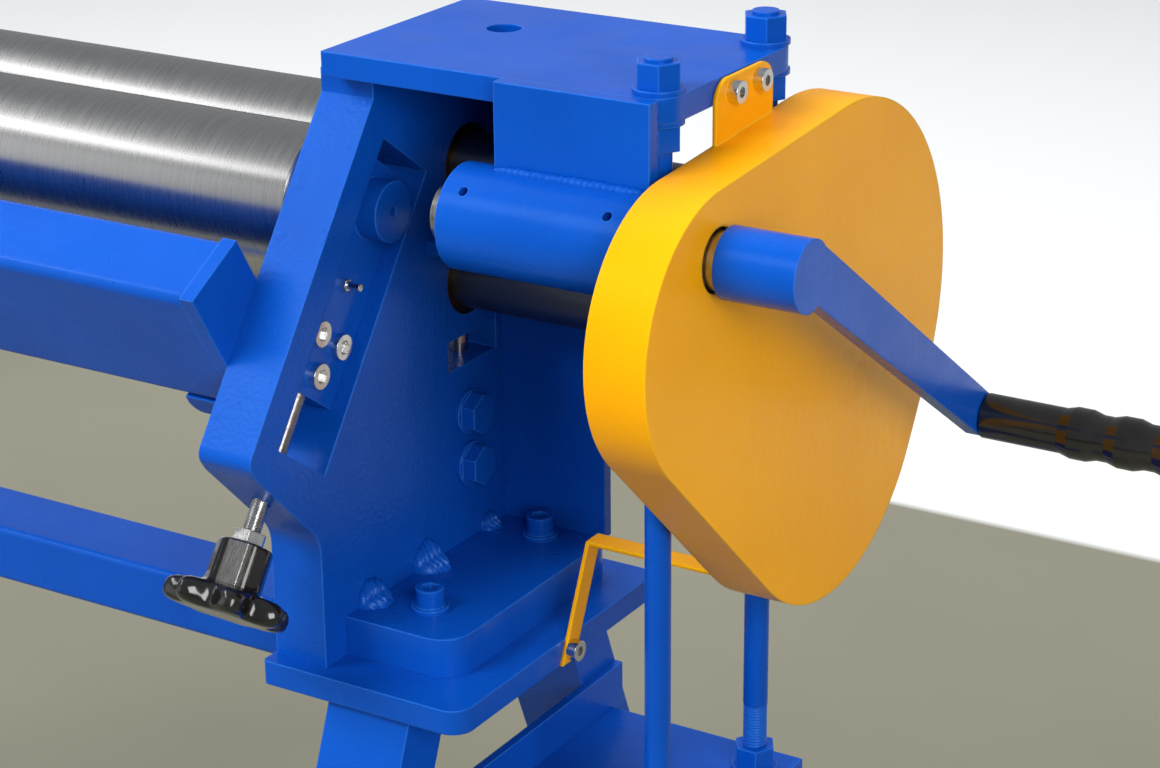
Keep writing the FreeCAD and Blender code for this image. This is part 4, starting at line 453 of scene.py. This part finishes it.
def beadMesh(start, end, radius, wobble):
    look = weldLook
    start, end = Vector(start), Vector(end)
    axis, across, third = axisBasis(end - start)
    long = (end - start).length
    count = max(8, int(long / look["step"]))
    around = look["around"]
    verts, faces = [], []
    for ring in range(count + 1):
        share = ring / count
        full = math.sqrt(max(0.0, 1 - (2 * share - 1) ** 8))  # thick all along, thin at both ends
        taper = look["endShare"] + (1 - look["endShare"]) * full
        wave = 1 + look["swell"] * math.cos(2 * math.pi * share * long / look["ripple"])
        for step in range(around):
            angle = 2 * math.pi * step / around
            spoke = across * math.cos(angle) + third * math.sin(angle)
            centre = start + axis * long * share
            rough = 1 + look["rough"] * noise.noise((centre + spoke * 0.01) * look["roughScale"])
            rise = 1 + wobble * noise.noise(centre * look["wobbleScale"] + Vector((3, 1, 7)))
            verts.append(centre + spoke * radius * taper * wave * rough * rise)
        if ring:
            low = (ring - 1) * around
            for step in range(around):
                after = (step + 1) % around
                faces.append((low + step, low + after, low + around + after, low + around + step))
    faces.append(tuple(reversed(range(around))))
    faces.append(tuple(range(len(verts) - around, len(verts))))
    return verts, faces


def weldRow(name, lines, radius, body, wobble=0.25):
    verts, faces = [], []
    for start, end in lines:
        some, sides = beadMesh(start, end, radius, wobble)
        faces += [tuple(corner + len(verts) for corner in side) for side in sides]
        verts += some
    return addPiece(name, verts, faces, "seam", body, 60)


def endOutline(node, top):
    corners = [vert.co for vert in nodes[node].data.vertices]
    level = max(spot.z for spot in corners) if top else min(spot.z for spot in corners)
    ring = [spot for spot in corners if abs(spot.z - level) < 0.0008]
    x0, x1 = min(spot.x for spot in ring), max(spot.x for spot in ring)
    y0, y1 = min(spot.y for spot in ring), max(spot.y for spot in ring)
    around = [(x0, y0), (x1, y0), (x1, y1), (x0, y1)]
    return [((*around[i], level), (*around[(i + 1) % 4], level)) for i in range(4)]


tubeSeam = {
    "from": (0.6712, -0.0632, 0.9638), "to": (0.7708, -0.0632, 0.9638), "radius": 0.0034, "wobble": 0.35,
}
legSeam = {"topRadius": 0.0030, "padRadius": 0.0028}
weldRow(
    "crankTubeWeld", [(tubeSeam["from"], tubeSeam["to"])], tubeSeam["radius"], "frame", tubeSeam["wobble"]
)
for side in ("right", "left"):
    for end in ("front", "rear"):
        leg = f"{side}_{end}_leg"
        weldRow(f"{leg}_topWeld", endOutline(leg, True), legSeam["topRadius"], "frame")
        weldRow(f"{leg}_padWeld", endOutline(leg, False), legSeam["padRadius"], "frame")
print("seams laid")

# short fat welds that hold each end frame to its foot plate
footWeld = {
    "face": 0.568, "level": 0.666, "along": (-0.0575, 0.0035, 0.0765),
    "half": (0.0135, 0.0145, 0.0085), "leg": (0.0165, 0.0185, 0.0110),
    "ripple": 0.0031, "swell": 0.0009, "rows": 30, "arc": 14, "bow": 0.0035, "sunk": 0.0008,
    "lumps": 0.28, "hollow": 0.74, "bulge": 0.16, "plainBelow": 0.003,
}


def fatWeld(name, side, centre, half, leg):
    look = footWeld
    rows, arc = look["rows"], look["arc"]
    verts, faces = [], []
    for row in range(rows + 1):
        along = (2 * row / rows - 1) * half
        size = leg * max(0.0, 1 - abs(along / half) ** 2.4) ** 0.6
        size *= 1 + look["lumps"] * noise.noise(Vector((along * 130, centre * 90, side * 3)))
        for step in range(arc + 1):
            angle = math.pi / 2 * step / arc
            # ripples bow forwards, as a pushed puddle leaves them
            lean = along + look["bow"] * math.sin(2 * angle)
            wave = look["swell"] * math.cos(2 * math.pi * lean / look["ripple"])
            reach = size * (look["hollow"] + look["bulge"] * abs(math.cos(2 * angle)))
            reach += wave if size > look["plainBelow"] else 0
            out, rise = max(0.0, reach * math.cos(angle)), max(0.0, reach * math.sin(angle))
            verts.append((side * (look["face"] + out), centre + along, look["level"] + rise))
        verts.append((side * (look["face"] - look["sunk"]), centre + along, look["level"] - look["sunk"]))
    wide = arc + 2
    for row in range(rows):
        for step in range(wide):
            after = (step + 1) % wide
            low, high = row * wide, (row + 1) * wide
            loop = (low + step, low + after, high + after, high + step)
            faces.append(loop if side > 0 else loop[::-1])
    first, last = tuple(range(wide)), tuple(range(rows * wide, (rows + 1) * wide))
    faces += [first[::-1], last] if side > 0 else [first, last[::-1]]
    return addPiece(name, verts, faces, "seam", "frame", 55)


for side, word in ((1, "right"), (-1, "left")):
    for number, centre in enumerate(footWeld["along"]):
        half, leg = footWeld["half"][number], footWeld["leg"][number]
        fatWeld(f"{word}FootWeld{number + 1}", side, centre, half, leg)
print("foot welds laid")

# adjusting screws and their star knobs, drawn along the sloped slide
slideLine = {"start": (-0.18265, 0.69605), "way": (0, 0.5877853, 0.809017), "across": 0.549}
threadLook = {
    "from": 0.008, "to": 0.154, "crest": 0.00595, "root": 0.0047, "pitch": 0.00175, "steps": 28,
}
knobLook = {
    "lobes": 7, "swing": 0.0058, "rimReach": 0.034, "steps": 196,
    "slotFloor": 0.0124, "slotFacing": -70, "slotHalf": 36,
    "coreCorner": 0.0150, "coreFrom": 0.0245, "coreTo": 0.0506, "coreTurn": 18, "coreChamfer": 0.0009,
    "coreTopShare": 0.90,
}
# how far along the axis and how wide, from the face below the lobes to the top of the hub
knobProfile = (
    (0.0068, 0.010), (0.0062, 0.020), (0.0062, 0.026), (0.0068, 0.0300), (0.0082, 0.0323),
    (0.0105, 0.0336), (0.0145, 0.0340), (0.0182, 0.0335), (0.0205, 0.0322), (0.0219, 0.0298),
    (0.0226, 0.0262), (0.0230, 0.0225), (0.0236, 0.0200), (0.0246, 0.0184), (0.0262, 0.0176),
    (0.0300, 0.0175), (0.0400, 0.0173), (0.0480, 0.0171), (0.0500, 0.0167), (0.0508, 0.0158),
    (0.0510, 0.0140), (0.0510, 0.0100),
)


def threadAt(look):
    def radiusAt(angle, along, radius):
        if radius < look["root"]:
            return radius
        turn = (along / look["pitch"] - angle / (2 * math.pi)) % 1
        return look["root"] + (radius - look["root"]) * (1 - abs(2 * turn - 1) ** 1.3)
    return radiusAt


def threadedRod(name, start, way, look, finish, body):
    rings = int((look["to"] - look["from"]) / look["pitch"] * 7)
    long = look["to"] - look["from"]
    profile = [(look["from"], look["root"] * 0.7), (look["from"], look["root"])]
    profile += [(look["from"] + long * ring / rings, look["crest"]) for ring in range(1, rings)]
    profile += [(look["to"], look["root"]), (look["to"], look["root"] * 0.7)]
    verts, faces = spunShell(profile, start, way, look["steps"], threadAt(look))
    return addPiece(name, verts, faces, finish, body, 50)


def lobesAt(look):
    def radiusAt(angle, along, radius):
        share = (radius / look["rimReach"]) ** 4
        reach = radius + look["swing"] * share * math.cos(look["lobes"] * angle)
        turned = (math.degrees(angle) - look["slotFacing"] + 180) % 360 - 180
        if along > look["coreFrom"] and abs(turned) < look["slotHalf"]:
            reach = min(reach, look["slotFloor"])
        return reach
    return radiusAt


def starKnob(side, body):
    look = knobLook
    start = (slideLine["across"] * side, *slideLine["start"])
    word = "right" if side > 0 else "left"
    verts, faces = spunShell(knobProfile, start, slideLine["way"], look["steps"], lobesAt(look))
    knob = addPiece(f"{word}StarKnob", verts, faces, "black", body, 32)
    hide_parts(f"{word}_star_knob")
    axis, across, third = axisBasis(slideLine["way"])
    verts, faces = [], []
    coreTop = (look["coreTo"] + look["coreChamfer"], look["coreTopShare"])
    levels = ((look["coreFrom"], 1), (look["coreTo"], 1), coreTop)
    for along, share in levels:
        for corner in range(6):
            angle = math.radians(60 * corner + look["slotFacing"] + look["coreTurn"])
            spoke = across * math.cos(angle) + third * math.sin(angle)
            verts.append(Vector(start) + axis * along + spoke * look["coreCorner"] * share)
    for ring in range(len(levels) - 1):
        for corner in range(6):
            after = (corner + 1) % 6
            low = ring * 6
            faces.append((low + corner, low + after, low + 6 + after, low + 6 + corner))
    faces += [tuple(reversed(range(6))), tuple(range(len(verts) - 6, len(verts)))]
    addPiece(f"{word}KnobCore", verts, faces, "turnedSteel", body, 20)


for side, word in ((1, "right"), (-1, "left")):
    start = (slideLine["across"] * side, *slideLine["start"])
    body = f"{word}_adjuster"
    rod = threadedRod(
        f"{word}AdjustingThread", start, slideLine["way"], threadLook, "zinc", body
    )
    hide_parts(f"{word}_adjusting_screw")
    starKnob(side, body)
print("adjusters built")

# rolled threads at the lower ends of the tie rods
rodThread = {"from": 0.5315, "to": 0.5775, "crest": 0.0079, "root": 0.0069, "pitch": 0.0020, "steps": 30}
rodPlaces = {"x": 0.762, "y": (-0.033, 0.0945)}
for number, y in enumerate(rodPlaces["y"]):
    threadedRod(
        f"tieRodThread{number + 1}", (rodPlaces["x"], y, 0), (0, 0, 1), rodThread,
        "enamel", "frame",
    )
print("rod threads cut")

# floor and light
studio = {
    "halfSize": 9.0,
    "floorGrey": ((0.205, 0.200, 0.155), (0.240, 0.235, 0.182)),
    "wallWhite": (0.74, 0.75, 0.75),
    "wallLine": (1.650, 1.668),
    "airColour": (0.93, 0.96, 1.0),
    "airStrength": 0.34,
}


def studioGround(look):
    material, tree, shader, place = newFinish("studioGround")
    cloud = remap(tree, grain(tree, place, 1.4, 5), 0.3, 0.75, 0, 1)
    colour = mixColours(tree, cloud, *look["floorGrey"])
    axes = tree.nodes.new("ShaderNodeSeparateXYZ")
    tree.links.new(place, axes.inputs[0])
    far = remap(tree, axes.outputs["Y"], *look["wallLine"], 0, 1)
    colour = mixColours(tree, far, colour, look["wallWhite"])
    tree.links.new(colour, shader.inputs["Base Color"])
    shader.inputs["Roughness"].default_value = 0.8
    shader.inputs["Specular IOR Level"].default_value = 0.1
    tree.links.new(dents(tree, grain(tree, place, 60, 4), 0.15, 0.001), shader.inputs["Normal"])
    return material


def makeStudio(look):
    half = look["halfSize"]
    floor = bpy.data.meshes.new("studioFloor")
    corners = [(-half, -half, 0), (half, -half, 0), (half, half, 0), (-half, half, 0)]
    floor.from_pydata(corners, [], [(0, 1, 2, 3)])
    floor.materials.append(studioGround(look))
    ground = bpy.data.objects.new("studioFloor", floor)
    bpy.context.scene.collection.objects.link(ground)
    world = bpy.data.worlds.new("studioAir")
    bpy.context.scene.world = world
    world.use_nodes = True
    air = world.node_tree.nodes["Background"]
    air.inputs["Color"].default_value = (*look["airColour"], 1)
    air.inputs["Strength"].default_value = look["airStrength"]


lamps = {
    "keyPanel": {"spot": (-0.9, -2.4, 3.3), "aim": (0.5, 0, 0.9), "size": (2.2, 1.2), "watts": 130},
    "topPanel": {"spot": (-0.5, 0.5, 3.4), "aim": (-0.2, 0, 0.9), "size": (3.6, 0.9), "watts": 30},
    "rollPanel": {"spot": (-2.6, -0.95, 3.3), "aim": (0.2, -0.1, 0.8), "size": (3.4, 0.45), "watts": 28},
    "frontPanel": {"spot": (-3.5, -3.0, 1.5), "aim": (0.2, -0.1, 0.8), "size": (3.0, 3.0), "watts": 18},
    "sidePanel": {"spot": (3.0, -1.9, 1.9), "aim": (0.6, 0, 0.8), "size": (1.6, 1.6), "watts": 70},
    "wallWash": {"spot": (-0.8, 2.6, 4.4), "aim": (-1.0, 3.6, 0), "size": (5.0, 2.0), "watts": 170},
}
mirroredLamps = ("rollPanel", "frontPanel", "sidePanel")  # the only ones seen in shiny faces


def hangLamps():
    for name, look in lamps.items():
        data = bpy.data.lights.new(name, "AREA")
        data.shape = "RECTANGLE"
        data.size, data.size_y = look["size"]
        data.energy = look["watts"]
        lamp = bpy.data.objects.new(name, data)
        bpy.context.scene.collection.objects.link(lamp)
        lamp.location = look["spot"]
        way = Vector(look["aim"]) - Vector(look["spot"])
        lamp.rotation_euler = way.to_track_quat("-Z", "Y").to_euler()
        lamp.visible_glossy = name in mirroredLamps


makeStudio(studio)
hangLamps()
print("studio set")
